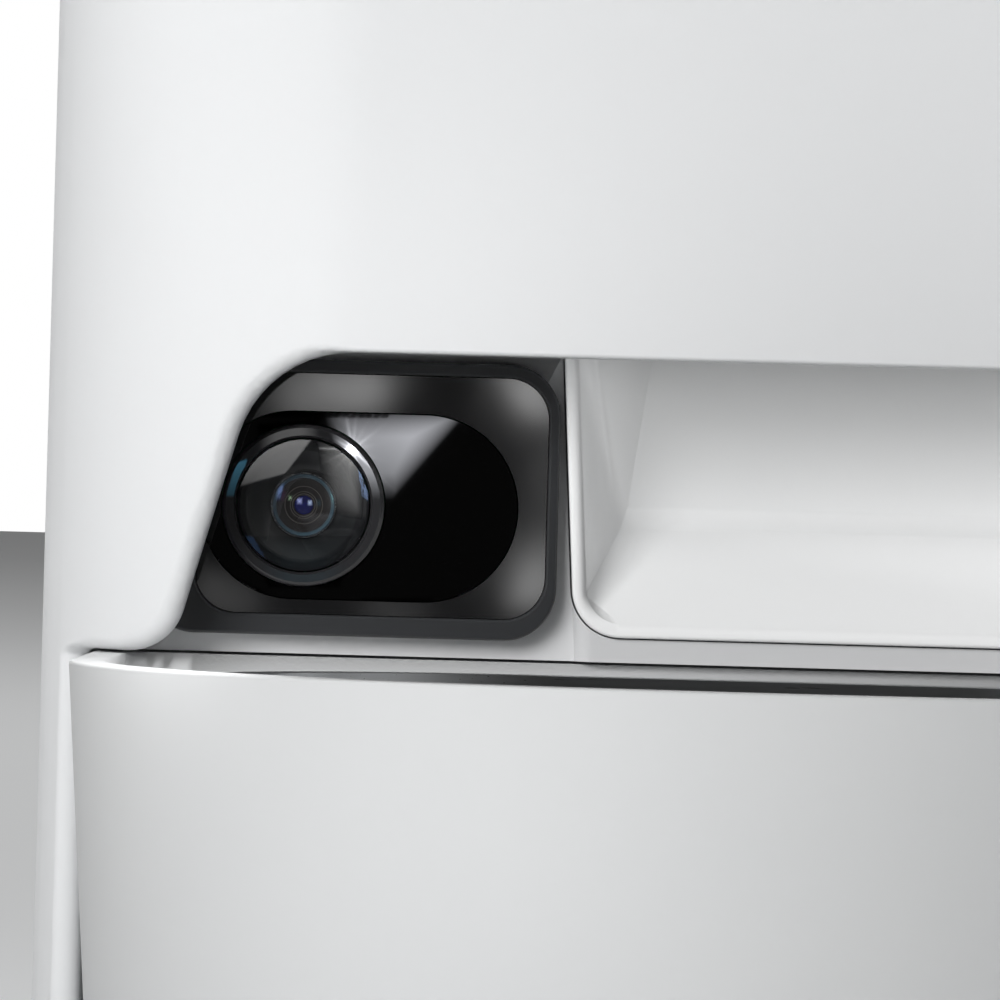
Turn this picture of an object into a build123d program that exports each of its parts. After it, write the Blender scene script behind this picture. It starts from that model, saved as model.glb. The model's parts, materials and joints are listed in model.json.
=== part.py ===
"""Automatic pet feeder with a camera beside its food chute, and a tray that slides out under the niche."""

import os
from math import atan2, cos, degrees, hypot, pi, radians, sin, sqrt, tan

from build123d import *

# Overall sizes in millimetres, with the front towards -Y and the floor at zero
body_width = 190.0
body_depth = 190.0
tray_reach = 100.0
height = 320.0
flat_half_width = 50.0
wall = 2.5
foot_height = 3.0

# Clearances, and the overrun that all cuts share
gap = 0.3
running_gap = 0.08
seam = 0.2
overrun = 5.0

# Lid and its parting line
lid_height = 30.0
lid_top_round = 12.0
lid_post_radius = 4.0
lid_post_x = 60.0
lid_post_inset = 45.0
lid_plate_level = 3.0
lid_plate_thickness = 2.5
lid_plate_inset = 5.0
seal_width = 3.0
desiccant_width = 52.0
desiccant_height = 11.0
desiccant_wall = 1.6
desiccant_slots = 7
desiccant_slot_width = 2.4

# Hinge of the lid
hinge_inset = 4.0
hinge_drop = 5.0
hinge_pin_radius = 1.5
knuckle_radius = 4.0
lid_knuckle_inner = 30.0
lid_knuckle_outer = 46.0
body_knuckle_outer = 56.0
hinge_arm_thickness = 4.3
hinge_pocket_half = 69.0
hinge_pocket_depth = 11.0
hinge_pocket_drop = 11.7

# Sliding lock of the lid
lock_travel = 8.0
lock_thickness = 2.0
lock_stem_width = 4.0
lock_foot_length = 8.0
lock_foot_height = 1.3
lock_foot_drop = 3.0
lock_slot_height = 4.0
lock_slot_level = 11.0
lock_pad_width = 26.0
lock_pad_height = 12.0
lock_pad_rise = 1.6
lock_pad_corner = 4.0
keeper_length = 10.0
keeper_height = 1.0

# Niche in the front of the body
tray_top = 60.0
tray_gap = 0.4
niche_height = 39.9
niche_wall = 6.0
niche_edge_round = 2.0
niche_border = 5.0
niche_rim_depth = 33.0
tray_side_inset = 8.0
tray_side_gap = 0.8
niche_foot_inset = 10.8
niche_lean = 11.6
shoulder_radius = 15.5
foot_flare = 7.6
bay_corner = 1.2

# Liner of the niche
liner_setback = 25.0
liner_thickness = 2.0
liner_headroom = 0.8
pad_rise = 3.0
pad_height = 10.0
pad_round = 2.6

# Camera panel
panel_width = 55.0
panel_height = 36.7
panel_radius = 7.0
panel_from_shoulder = 11.6
panel_above_floor = 20.85
panel_depth = 4.0
bezel_width = 1.5
bezel_top_width = 1.8
bezel_round = 0.5
face_width = 46.6
face_height = 32.1
face_radius = 5.6
face_recess = 0.4
face_thickness = 2.0
window_width = 42.4
window_height = 25.1
window_shift = 1.7
window_drop = 1.55
window_recess = 0.2
window_thickness = 1.2
gasket_border = 3.0
lens_from_window = 7.4
lens_ring_radius = 10.75
lens_ring_width = 2.0
lens_ring_rise = 0.8
lens_ring_depth = 2.6
dome_bulge_radius = 14.0
dome_thickness = 1.0
hood_inner_radius = 4.3
hood_depth = 1.0
hood_thickness = 0.8
trim_ring_width = 0.4
trim_ring_depth = 0.9
barrel_radius = 5.9
barrel_bore_radius = 4.0
barrel_length = 8.5
lens_bulge = 0.9
lens_edge = 1.2
mount_width = 15.0
mount_depth = 6.0
sensor_width = 8.0
sensor_thickness = 1.2
camera_board_width = 42.0
camera_board_height = 24.0
board_thickness = 1.6
camera_box_depth = 15.0
camera_box_wall = 1.5
camera_board_border = 1.5
led_radius = 1.5
led_length = 3.0
led_spacing = 7.0

# Chute
chute_side_margin = 4.4
chute_lean = 3.4
chute_rise = 3.3
lip_width = 1.9
lip_proud = 1.0
lip_round = 0.45
lip_corner = 6.5
chute_wall = 1.6
chute_draft = 23.5
ramp_run = 16.0
ramp_rise = 13.8
ramp_round = 8.0
outlet_back_reach = 30.0
sensor_pod_size = 7.0
sensor_pod_level = 12.0

# Metering rotor and its housing
outlet_radius = 53.0
outlet_half = 26.0
outlet_margin = 1.0
rotor_floor_rise = 15.7
housing_floor = 2.5
housing_height = 34.0
rotor_chamber_gap = 0.8
vane_reach = 54.5
vane_count = 6
vane_thickness = 2.8
vane_sleeve = 2.0
hub_radius = 14.0
rotor_lift = 0.4
rotor_headroom = 1.2
shaft_radius = 3.0
leg_radius = 4.0
leg_angles = (30, 150, 210, 330)
stirrer_boss_radius = 7.0
stirrer_height = 9.0
stirrer_reach = 23.0
stirrer_arm = 4.0
stirrer_arms = 3

# Gears and motor
gear_module = 1.5
rotor_teeth = 36
drive_teeth = 12
gear_thickness = 6.0
gear_drop = 6.0
gear_slack = 0.15
tooth_share = 0.34
addendum_share = 0.8
dedendum_share = 1.1
tip_share = 0.5
drive_overlap = 1.5
gearbox_width = 34.0
gearbox_height = 20.0
motor_ear_reach = 24.0
motor_ear_width = 14.0
motor_ear_thickness = 2.5
motor_post_radius = 3.0
motor_radius = 13.5
motor_clearance = 0.5
drive_shaft_radius = 2.5

# Hopper
hopper_inset = 7.0
hopper_back_inset = 18.0
hopper_corner_step = 5.0
hopper_wall = 2.5
hopper_floor = 2.5
throat_radius = 40.0
throat_shift = 14.0
funnel_rise = 55.0
hopper_flange = 2.5
hopper_flange_drop = 3.5
hopper_rim_drop = 1.5
ledge_height = 2.3
ledge_clearance = 0.4

# Feed button in the front wall
button_level = 170.0
button_radius = 8.6
button_proud = 1.2
button_travel = 1.2
button_flange_radius = 10.0
button_flange_thickness = 1.3
button_dish = 0.6
indicator_width = 2.1
button_board_width = 40.0
button_board_height = 24.0
button_board_setback = 5.5
button_post_radius = 2.5
button_post_x = 16.0
switch_width = 6.0
switch_gap = 0.2

# Tray and bowl
tray_height_gap = 3.0
tray_corner_x = 15.0
tray_front_radius = 130.0
tray_draft = 4.0
tray_wall = 2.5
tray_rim_round = 0.4
tray_rear_reach = 37.0
bowl_side_margin = 17.0
bowl_front_margin = 11.0
bowl_rear_margin = 7.0
bowl_corner = 46.0
bowl_flange = 5.0
bowl_metal = 0.8
bowl_depth = 40.0
bowl_draft = 9.0
bowl_bottom_round = 10.0
deck_drop = 2.2
deck_margin = 4.5
deck_rear_margin = 1.5
deck_corner = 9.0
bowl_gap = 0.5
pad_radius = 7.0
pad_front_x = 40.0
pad_front_inset = 25.0
pad_rear_side_inset = 27.0
pad_rear_inset = 15.0

# Bay that the tray slides into
bay_wall = 2.0
bay_strip_inset = 5.0

# Base
base_thickness = 2.5
base_arm_width = 4.0
base_foot_radius = 8.0
base_foot_side_inset = 33.0
base_foot_inset = 22.0
arm_foot_length = 28.0
arm_foot_width = 3.4
boss_radius = 4.0
boss_height = 24.0
boss_inset = 3.0
boss_places = (50.0, 90.0)
screw_radius = 1.45
screw_head_radius = 2.8
screw_head_height = 1.5
screw_length = 11.0

# Battery bay and its door
battery_width = 62.0
battery_height = 44.0
battery_depth = 34.5
battery_x = -16.0
battery_level = 11.0
battery_wall = 2.0
door_thickness = 2.4
door_stub_radius = 0.8
door_stub_length = 1.9
door_grip_width = 20.0
door_grip_height = 3.0
door_grip_depth = 1.2
contact_thickness = 0.5
contact_width = 10.0
contact_rows = 2
contact_cone = 4.0
contact_cone_radius = 3.3
contact_tip_radius = 1.2

# Main board, inlet, reset button and speaker
board_left = 22.0
board_side_margin = 20.5
board_height = 52.0
board_setback = 9.0
chip_width = 12.0
chip_height = 1.6
radio_width = 18.0
inlet_x = 34.0
inlet_level = 24.0
inlet_width = 9.0
inlet_height = 3.4
inlet_wall = 0.5
inlet_slot_width = 13.0
inlet_slot_height = 7.0
inlet_plate_width = 26.0
inlet_plate_height = 30.0
inlet_plate_level = 32.0
inlet_plate_corner = 4.0
reset_level = 40.0
reset_radius = 2.1
reset_flange_radius = 3.2
reset_travel = 0.8
reset_recess = 0.4
reset_switch_height = 3.5
speaker_level = 95.0
speaker_radius = 20.0
speaker_frame = 2.6
speaker_magnet_radius = 12.0
speaker_magnet_depth = 10.0
speaker_ring_width = 1.8
grille_hole_radius = 1.2
grille_pitch = 5.0
grille_rings = 3
grille_holes_per_ring = 6

# Planes and levels that follow from the sizes
half_width = body_width / 2
corner_radius = half_width - flat_half_width
hopper_corner = corner_radius - hopper_corner_step
body_back = (body_depth + tray_reach) / 2
body_front = body_back - body_depth
body_middle = (body_front + body_back) / 2
tray_front = body_front - tray_reach
shell_bottom = foot_height
lid_bottom = height - lid_height
shell_top = lid_bottom - gap
inner_back = body_back - wall
inner_front = body_front + wall
inner_half = half_width - wall

niche_floor = tray_top + tray_gap
niche_top = niche_floor + niche_height
tray_half = half_width - tray_side_inset
niche_foot = tray_half - niche_foot_inset
niche_shoulder = niche_foot - niche_lean
bay_half = tray_half + tray_side_gap
niche_rim_back = body_front + niche_rim_depth
liner_face = body_front + liner_setback
liner_back = liner_face + liner_thickness
liner_roof = niche_top + liner_headroom

panel_x = -niche_shoulder + panel_from_shoulder
panel_right = panel_x + panel_width / 2
panel_z = niche_floor + panel_above_floor
panel_front = liner_face - panel_depth
face_front = panel_front + face_recess
face_back = face_front + face_thickness
window_front = face_front + window_recess
window_back = window_front + window_thickness
face_x = panel_right - bezel_width - face_width / 2
face_z = panel_z + panel_height / 2 - bezel_top_width - face_height / 2
window_x = face_x - window_shift
lens_z = face_z - window_drop
lens_x = window_x - lens_from_window
lens_front = panel_front - lens_ring_rise / 2
dome_edge = lens_ring_radius - lens_ring_width
hood_front = lens_front + hood_depth
barrel_front = hood_front + hood_depth + hood_thickness
barrel_back = barrel_front + barrel_length
camera_board_front = barrel_back + mount_depth / 2 + sensor_thickness
camera_box_back = liner_back + camera_box_depth

chute_half_top = (niche_shoulder - chute_side_margin - panel_right - gap) / 2
chute_x = panel_right + gap + chute_half_top
chute_bottom = niche_floor + chute_rise
chute_top = liner_roof - gap
lip_front = liner_face - pad_rise - lip_proud
mouth_bottom = chute_bottom + lip_width
ramp_back = lip_front + ramp_run
ramp_top = mouth_bottom + ramp_rise
rotor_base = niche_top + rotor_floor_rise
rotor_y = liner_back + outlet_margin + outlet_radius
outlet_back = lip_front + outlet_back_reach
housing_top = rotor_base + housing_height
chamber_floor = rotor_base + housing_floor
chamber_radius = vane_reach + rotor_chamber_gap
housing_radius = chamber_radius + wall
leg_circle = housing_radius + leg_radius / 2
rotor_bottom = chamber_floor + rotor_lift
rotor_top = housing_top - rotor_headroom
gear_top = rotor_base - gear_drop
gear_bottom = gear_top - gear_thickness
rotor_pitch = gear_module * rotor_teeth / 2
drive_pitch = gear_module * drive_teeth / 2
drive_y = rotor_y + rotor_pitch + drive_pitch + gear_slack
gearbox_top = gear_bottom - drive_overlap
gearbox_bottom = gearbox_top - gearbox_height
shaft_bottom = gear_bottom - running_gap

hopper_half = half_width - hopper_inset
hopper_front = body_front + hopper_inset
hopper_back = body_back - hopper_back_inset
hopper_middle = (hopper_front + hopper_back) / 2
hopper_depth = hopper_back - hopper_front
funnel_top = housing_top + funnel_rise
flange_top = lid_bottom - hopper_flange_drop
flange_bottom = flange_top - hopper_flange
hopper_rim = lid_bottom - hopper_rim_drop
lid_plate_bottom = lid_bottom + lid_plate_level
lid_plate_top = lid_plate_bottom + lid_plate_thickness

hinge_y = body_back - hinge_inset
hinge_z = lid_bottom - hinge_drop
pocket_front = body_back - hinge_pocket_depth
pocket_floor = lid_bottom - hinge_pocket_drop

tray_bottom = tray_height_gap
pad_rear_x = tray_half - pad_rear_side_inset
tray_back = liner_face + tray_rear_reach
bay_back = tray_back + overrun / 2
tray_corner = tray_half - tray_corner_x
tray_fy = tray_front + tray_front_radius
tray_cy = tray_fy - sqrt((tray_front_radius - tray_corner) ** 2 - tray_corner_x**2)
bowl_half = tray_half - bowl_side_margin
bowl_front = tray_front + bowl_front_margin
bowl_back = liner_face - bowl_rear_margin
bowl_middle = (bowl_front + bowl_back) / 2
bowl_length = bowl_back - bowl_front
deck_back = liner_face - deck_rear_margin
flange_seat = tray_top - deck_drop

base_top = shell_bottom + base_thickness
base_foot_x = half_width - base_foot_side_inset
base_front = bay_back
battery_bottom = shell_bottom + battery_level
battery_top = battery_bottom + battery_height
battery_left = battery_x - battery_width / 2
battery_right = battery_x + battery_width / 2
battery_front = inner_back - battery_depth
motor_bottom = battery_top + battery_wall + motor_clearance
door_axis_y = body_back - door_thickness / 2
door_axis_z = battery_bottom + gap + door_thickness / 2
board_back = inner_back - board_setback
board_front = board_back - board_thickness
board_right = inner_half - board_side_margin


def front_plane(depth):
    """Upright plane at a depth, seen from the front, with its normal towards the viewer."""
    return Plane.XZ.offset(-depth)


def body_plan(inset, level):
    """Plan of the body, drawn in by an inset, at a level."""
    with BuildSketch(Plane.XY.offset(level)) as plan:
        with Locations((0, body_middle)):
            RectangleRounded(
                body_width - 2 * inset, body_depth - 2 * inset, corner_radius - inset
            )
    return plan.sketch


def hopper_plan(grow, level):
    """Plan of the hopper's outside, grown by an amount, at a level."""
    with BuildSketch(Plane.XY.offset(level)) as plan:
        with Locations((0, hopper_middle)):
            RectangleRounded(
                2 * (hopper_half + grow), hopper_depth + 2 * grow, hopper_corner + grow
            )
    return plan.sketch


def bowed_plan(inset, back, rear_corner, level):
    """Plan with straight sides, round corners and a bowed front, drawn in from the tray's, at a level."""
    half = tray_half - inset
    turn = degrees(atan2(tray_fy - tray_cy, tray_corner_x))
    corner = tray_corner - inset
    with BuildSketch(Plane.XY.offset(level)) as plan:
        with BuildLine():
            CenterArc((-tray_corner_x, tray_cy), corner, 180, turn)
            CenterArc(
                (0, tray_fy), tray_front_radius - inset, 180 + turn, 180 - 2 * turn
            )
            CenterArc((tray_corner_x, tray_cy), corner, -turn, turn)
            Polyline((half, tray_cy), (half, back), (-half, back), (-half, tray_cy))
        make_face()
        if rear_corner:
            fillet(plan.vertices().group_by(Axis.Y)[-1], rear_corner)
    return plan.sketch


def tray_plan(inset, level):
    """Plan of the tray, drawn in by an inset, at a level."""
    return bowed_plan(inset, tray_back - inset, 0, level)


def bowl_plan(inset, level):
    """Plan of the bowl's flange, drawn in by an inset, at a level."""
    with BuildSketch(Plane.XY.offset(level)) as plan:
        with Locations((0, bowl_middle)):
            RectangleRounded(
                2 * (bowl_half - inset), bowl_length - 2 * inset, bowl_corner - inset
            )
    return plan.sketch


def chute_half(level, inset):
    """Half the chute's width at a level, drawn in by an inset."""
    return chute_half_top - (niche_top - level) * tan(radians(chute_lean)) - inset


def chute_outline(inset, bottom, top, corner, depth):
    """Outline of the chute's mouth on an upright plane: leaning sides and rounded lower corners."""
    with BuildSketch(front_plane(depth)) as outline:
        with BuildLine():
            Polyline(
                (chute_x - chute_half(top, inset), top),
                (chute_x - chute_half(bottom, inset), bottom),
                (chute_x + chute_half(bottom, inset), bottom),
                (chute_x + chute_half(top, inset), top),
                close=True,
            )
        make_face()
        if corner:
            fillet(outline.vertices().group_by(Axis.Y)[0], corner)
    return outline.sketch


def chute_profile(grow):
    """Side profile of the chute's duct: ramp, leaning back wall and front wall, grown by an amount."""
    slope = ramp_rise / ramp_run
    with BuildSketch(Plane.YZ.offset(chute_x - half_width)) as profile:
        with BuildLine():
            Polyline(
                (lip_front - overrun, mouth_bottom - overrun * slope),
                (ramp_back, ramp_top),
                (outlet_back, rotor_base + overrun),
                (liner_back, rotor_base + overrun),
                (liner_back, chute_top),
                (lip_front - overrun, chute_top),
                close=True,
            )
        make_face()
        knee = profile.vertices().sort_by_distance((ramp_back, ramp_top))[0]
        fillet(knee, ramp_round)
        if grow:
            offset(amount=grow, kind=Kind.INTERSECTION)
    return profile.sketch


def duct_plan(grow):
    """Plan of the chute's duct, narrowing to the back, grown by an amount."""
    front = lip_front - overrun
    back = outlet_back + overrun
    narrowing = tan(radians(chute_draft))
    wide = chute_half_top - lip_width + overrun * narrowing + grow
    narrow = wide - (back - front) * narrowing
    with BuildSketch(Plane.XY.offset(niche_floor - overrun)) as plan:
        with BuildLine():
            Polyline(
                (chute_x - wide, front),
                (chute_x - narrow, back),
                (chute_x + narrow, back),
                (chute_x + wide, front),
                close=True,
            )
        make_face()
    return plan.sketch


def panel_outline(depth):
    """Outline of the whole camera panel at a depth."""
    with BuildSketch(front_plane(depth)) as outline:
        with Locations((panel_x, panel_z)):
            RectangleRounded(panel_width, panel_height, panel_radius)
    return outline.sketch


def face_outline(inset, depth):
    """Outline of the panel's glossy face, drawn in by an inset, at a depth."""
    with BuildSketch(front_plane(depth)) as outline:
        with Locations((face_x, face_z)):
            RectangleRounded(
                face_width - 2 * inset, face_height - 2 * inset, face_radius - inset
            )
    return outline.sketch


def pill(grow, depth):
    """Outline of the camera's window, grown by an amount, at a depth."""
    with BuildSketch(front_plane(depth)) as outline:
        with Locations((window_x, lens_z)):
            SlotOverall(window_width + 2 * grow, window_height + 2 * grow)
    return outline.sketch


def spur_gear(teeth, bore, turn):
    """Spur gear with slim straight-flanked teeth, standing on the gears' level."""
    pitch = gear_module * teeth / 2
    root = pitch - dedendum_share * gear_module
    tip = pitch + addendum_share * gear_module
    half_pitch = tooth_share * pi * gear_module / 2
    half_tip = half_pitch * tip_share
    half_root = half_pitch + (half_pitch - half_tip) * dedendum_share / addendum_share
    with BuildSketch() as tooth:
        with BuildLine():
            Polyline(
                (root - gear_module, -half_root),
                (tip, -half_tip),
                (tip, half_tip),
                (root - gear_module, half_root),
                close=True,
            )
        make_face()
    with BuildPart() as gear:
        with BuildSketch(Plane.XY.offset(gear_bottom)):
            Circle(root)
            with PolarLocations(0, teeth, start_angle=turn):
                add(tooth.sketch)
            Circle(bore, mode=Mode.SUBTRACT)
        extrude(amount=gear_thickness)
    return gear.part


def block(low, high, mode=Mode.ADD):
    """Box between two corners, added to or cut from the piece being made."""
    middle = [(a + b) / 2 for a, b in zip(low, high)]
    size = [b - a for a, b in zip(low, high)]
    with Locations(tuple(middle)):
        Box(*size, mode=mode)


def post(x, y, low, high, radius, mode=Mode.ADD):
    """Upright round post or hole."""
    with Locations((x, y, (low + high) / 2)):
        Cylinder(radius, high - low, mode=mode)


def bar(x, z, front, back, radius, mode=Mode.ADD):
    """Round bar or hole that runs from front to back."""
    with Locations(Location((x, (front + back) / 2, z), (90, 0, 0))):
        Cylinder(radius, back - front, mode=mode)


def crossbar(left, right, y, z, radius, mode=Mode.ADD):
    """Round bar or hole that runs from left to right."""
    with Locations(Location(((left + right) / 2, y, z), (0, 90, 0))):
        Cylinder(radius, right - left, mode=mode)


os.makedirs("parts", exist_ok=True)

# Thick rim round the niche
with BuildPart() as niche_rim:
    rim_bottom = shell_bottom
    rim_height = niche_top + niche_border - rim_bottom
    extrude(body_plan(0, rim_bottom), amount=rim_height)
    extrude(body_plan(niche_wall, rim_bottom), amount=rim_height, mode=Mode.SUBTRACT)
    block(
        (-body_width, niche_rim_back, rim_bottom),
        (body_width, body_back + overrun, rim_bottom + rim_height),
        mode=Mode.SUBTRACT,
    )

# Opening of the niche above and of the tray's bay below
with BuildPart() as front_opening:
    with BuildSketch(front_plane(niche_rim_back)) as bell:
        with BuildLine():
            Polyline(
                (-bay_half, -overrun),
                (-bay_half, niche_floor),
                (-niche_foot, niche_floor),
                (-niche_shoulder, niche_top),
                (niche_shoulder, niche_top),
                (niche_foot, niche_floor),
                (bay_half, niche_floor),
                (bay_half, -overrun),
                close=True,
            )
        make_face()
        for x, z, radius in (
            (niche_shoulder, niche_top, shoulder_radius),
            (niche_foot, niche_floor, foot_flare),
            (bay_half, niche_floor, bay_corner),
        ):
            for side in (-x, x):
                corner = bell.vertices().sort_by_distance((side, z))[0]
                fillet(corner, radius)
    extrude(amount=niche_rim_depth + overrun)

# Body shell
with BuildPart() as outer_shell:
    extrude(body_plan(0, shell_bottom), amount=shell_top - shell_bottom)
    extrude(
        body_plan(wall, shell_bottom), amount=shell_top - shell_bottom, mode=Mode.SUBTRACT
    )
    add(niche_rim.part)
    add(front_opening.part, mode=Mode.SUBTRACT)
    rim_edges = []
    for edge in outer_shell.edges():
        middle = edge.position_at(1 / 2)
        reach = hypot(
            max(abs(middle.X) - half_width + corner_radius, 0),
            max(body_front + corner_radius - middle.Y, 0),
        )
        outside = abs(reach - corner_radius) < gap
        level = niche_floor - bay_corner < middle.Z < niche_top + gap
        if outside and level and middle.Y < niche_rim_back and abs(middle.X) < bay_half:
            rim_edges.append(edge)
    fillet(rim_edges, niche_edge_round)
    # Ledge for the hopper's flange
    extrude(hopper_plan(hopper_inset - wall + gap, flange_bottom - ledge_height), amount=ledge_height)
    extrude(
        hopper_plan(ledge_clearance, flange_bottom - ledge_height),
        amount=ledge_height,
        mode=Mode.SUBTRACT,
    )
    # Pocket of the hinge, with its floor and front wall
    block(
        (-hinge_pocket_half - wall, pocket_front - wall, pocket_floor - wall),
        (hinge_pocket_half + wall, hinge_y, shell_top),
    )
    block(
        (-body_knuckle_outer - wall, hinge_y - wall, pocket_floor - wall),
        (body_knuckle_outer + wall, inner_back + gap, pocket_floor),
    )
    block(
        (-hinge_pocket_half, pocket_front, pocket_floor),
        (hinge_pocket_half, body_back + overrun, shell_top + overrun),
        mode=Mode.SUBTRACT,
    )
    for side in (-1, 1):
        ends = sorted((side * (lid_knuckle_outer + gap), side * body_knuckle_outer))
        crossbar(*ends, hinge_y, hinge_z, knuckle_radius)
        block(
            (ends[0], hinge_y - knuckle_radius, pocket_floor - wall),
            (ends[1], hinge_y + knuckle_radius / 2, hinge_z),
        )
    crossbar(
        -body_knuckle_outer, body_knuckle_outer, hinge_y, hinge_z,
        hinge_pin_radius + running_gap, mode=Mode.SUBTRACT,
    )
    # Keeper of the lid's lock
    block(
        (gap, inner_front - gap, shell_top - keeper_height),
        (keeper_length, inner_front + lock_foot_drop, shell_top),
    )
    # Bosses for the base's screws
    for x in (-inner_half + boss_inset, inner_half - boss_inset):
        for y in boss_places:
            post(x, y, base_top, base_top + boss_height, boss_radius)
            post(x, y, base_top, base_top + screw_length, screw_radius + seam, Mode.SUBTRACT)
    extrude(
        body_plan(-overrun, shell_bottom) - body_plan(0, shell_bottom),
        amount=height,
        mode=Mode.SUBTRACT,
    )
    # Feed button's bore and the posts of its board
    bar(0, button_level, body_front - overrun, inner_front + overrun,
        button_radius + gap + indicator_width + seam, Mode.SUBTRACT)
    for x in (-button_post_x, button_post_x):
        bar(x, button_level, inner_front - gap, inner_front + button_board_setback,
            button_post_radius)
    # Battery opening with the holes of the door's stubs
    block(
        (battery_left, inner_back - overrun, battery_bottom),
        (battery_right, body_back + overrun, battery_top),
        mode=Mode.SUBTRACT,
    )
    crossbar(
        battery_left - door_stub_length - gap, battery_right + door_stub_length + gap,
        door_axis_y, door_axis_z, door_stub_radius + running_gap, mode=Mode.SUBTRACT,
    )
    # Opening of the inlet's plate
    with BuildSketch(front_plane(body_back + overrun)):
        with Locations((inlet_x, inlet_plate_level)):
            RectangleRounded(
                inlet_plate_width + 2 * seam, inlet_plate_height + 2 * seam, inlet_plate_corner + seam
            )
    extrude(amount=wall + 2 * overrun, mode=Mode.SUBTRACT)
    # Speaker's ring and grille
    bar(0, speaker_level, inner_back - speaker_frame, inner_back + gap,
        speaker_radius + gap + speaker_ring_width)
    bar(0, speaker_level, inner_back - speaker_frame - overrun, inner_back,
        speaker_radius + gap, Mode.SUBTRACT)
    bar(0, speaker_level, inner_back - overrun, body_back + overrun,
        grille_hole_radius, Mode.SUBTRACT)
    for ring in range(1, grille_rings + 1):
        with BuildSketch(front_plane(body_back + overrun)):
            with Locations((0, speaker_level)):
                with PolarLocations(ring * grille_pitch, ring * grille_holes_per_ring):
                    Circle(grille_hole_radius)
        extrude(amount=wall + 2 * overrun, mode=Mode.SUBTRACT)
outer_shell.part.label = "outer_shell"
export_step(outer_shell.part, "parts/outer_shell.step")

# Liner of the niche, with the raised pad under the chute
with BuildPart() as niche_liner:
    block(
        (-half_width, liner_face, niche_floor),
        (half_width, liner_back, liner_roof + liner_thickness),
    )
    block(
        (-half_width, body_front, liner_roof),
        (half_width, liner_back, liner_roof + liner_thickness),
    )
    extrude(
        body_plan(niche_wall + gap, niche_floor),
        amount=liner_roof + liner_thickness - niche_floor,
        mode=Mode.INTERSECT,
    )
    extrude(
        chute_outline(0, niche_floor, niche_floor + pad_height, 0, liner_face + seam),
        amount=pad_rise + seam,
    )
    pad_edges = (
        niche_liner.edges()
        .filter_by_position(Axis.Y, liner_face - pad_rise - seam, liner_face - pad_rise + seam)
        .filter_by_position(Axis.Z, niche_floor + seam, niche_floor + pad_height - seam)
    )
    fillet(pad_edges, pad_round)
    extrude(
        chute_outline(-seam, chute_bottom - seam, chute_top, lip_corner + seam, liner_face),
        amount=pad_rise + overrun,
        mode=Mode.SUBTRACT,
    )
    extrude(
        chute_outline(
            -seam, chute_bottom - seam, liner_roof + liner_thickness, lip_corner + seam, liner_back
        ),
        amount=liner_thickness,
        mode=Mode.SUBTRACT,
    )
    extrude(face_outline(gasket_border, liner_back), amount=liner_thickness, mode=Mode.SUBTRACT)
niche_liner.part.label = "niche_liner"
export_step(niche_liner.part, "parts/niche_liner.step")

# Hollow of the chute
with BuildPart() as chute_hollow:
    extrude(chute_profile(0), amount=body_width)
    extrude(duct_plan(0), amount=height, mode=Mode.INTERSECT)
    extrude(
        chute_outline(
            lip_width, mouth_bottom, rotor_base + overrun, lip_corner - lip_width,
            outlet_back + overrun,
        ),
        amount=outlet_back_reach + 3 * overrun,
        mode=Mode.INTERSECT,
    )

# Chute with its lip
with BuildPart() as chute:
    extrude(chute_profile(chute_wall), amount=body_width)
    extrude(duct_plan(chute_wall), amount=height, mode=Mode.INTERSECT)
    extrude(
        chute_outline(0, chute_bottom, rotor_base, lip_corner, outlet_back + overrun),
        amount=outlet_back + overrun - liner_face,
        mode=Mode.INTERSECT,
    )
    extrude(
        chute_outline(0, chute_bottom, chute_top, lip_corner, liner_back),
        amount=liner_back - lip_front,
    )
    lip_edges = chute.edges().filter_by_position(Axis.Y, lip_front - seam, lip_front + seam)
    fillet(lip_edges.filter_by_position(Axis.Z, chute_bottom - seam, chute_top - seam), lip_round)
    add(chute_hollow.part, mode=Mode.SUBTRACT)
chute.part.label = "chute"
export_step(chute.part, "parts/chute.step")

# Food sensor on the duct's sides
with BuildPart() as chute_sensor:
    for side in (-1, 1):
        inner = chute_half_top + chute_wall + gap
        ends = sorted(
            (chute_x + side * inner, chute_x + side * (inner + sensor_pod_size))
        )
        low = rotor_base - sensor_pod_level
        block(
            (ends[0], liner_back + gap, low),
            (ends[1], liner_back + gap + sensor_pod_size, low + sensor_pod_size),
        )
chute_sensor.part.label = "chute_sensor"
export_step(chute_sensor.part, "parts/chute_sensor.step")

lens_axis = Axis((lens_x, 0, lens_z), (0, 1, 0))

# Camera panel: bezel, face, gasket and window
with BuildPart() as camera_bezel:
    extrude(panel_outline(liner_face), amount=panel_depth)
    extrude(face_outline(0, liner_face), amount=panel_depth, mode=Mode.SUBTRACT)
    front_edges = camera_bezel.edges().filter_by_position(
        Axis.Y, panel_front - seam, panel_front + seam
    )
    fillet(front_edges, bezel_round)
camera_bezel.part.label = "camera_bezel"
export_step(camera_bezel.part, "parts/camera_bezel.step")

with BuildPart() as camera_face:
    extrude(face_outline(running_gap, face_back), amount=face_thickness)
    extrude(pill(0, face_back), amount=face_thickness, mode=Mode.SUBTRACT)
camera_face.part.label = "camera_face"
export_step(camera_face.part, "parts/camera_face.step")

with BuildPart() as camera_gasket:
    extrude(face_outline(gap, liner_face), amount=liner_face - face_back)
    extrude(
        face_outline(gasket_border, liner_face), amount=liner_face - face_back, mode=Mode.SUBTRACT
    )
camera_gasket.part.label = "camera_gasket"
export_step(camera_gasket.part, "parts/camera_gasket.step")

with BuildPart() as camera_window:
    extrude(pill(-seam, window_back), amount=window_thickness)
    bar(lens_x, lens_z, window_front - overrun, window_back + overrun,
        lens_ring_radius + seam, Mode.SUBTRACT)
camera_window.part.label = "camera_window"
export_step(camera_window.part, "parts/camera_window.step")


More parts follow.
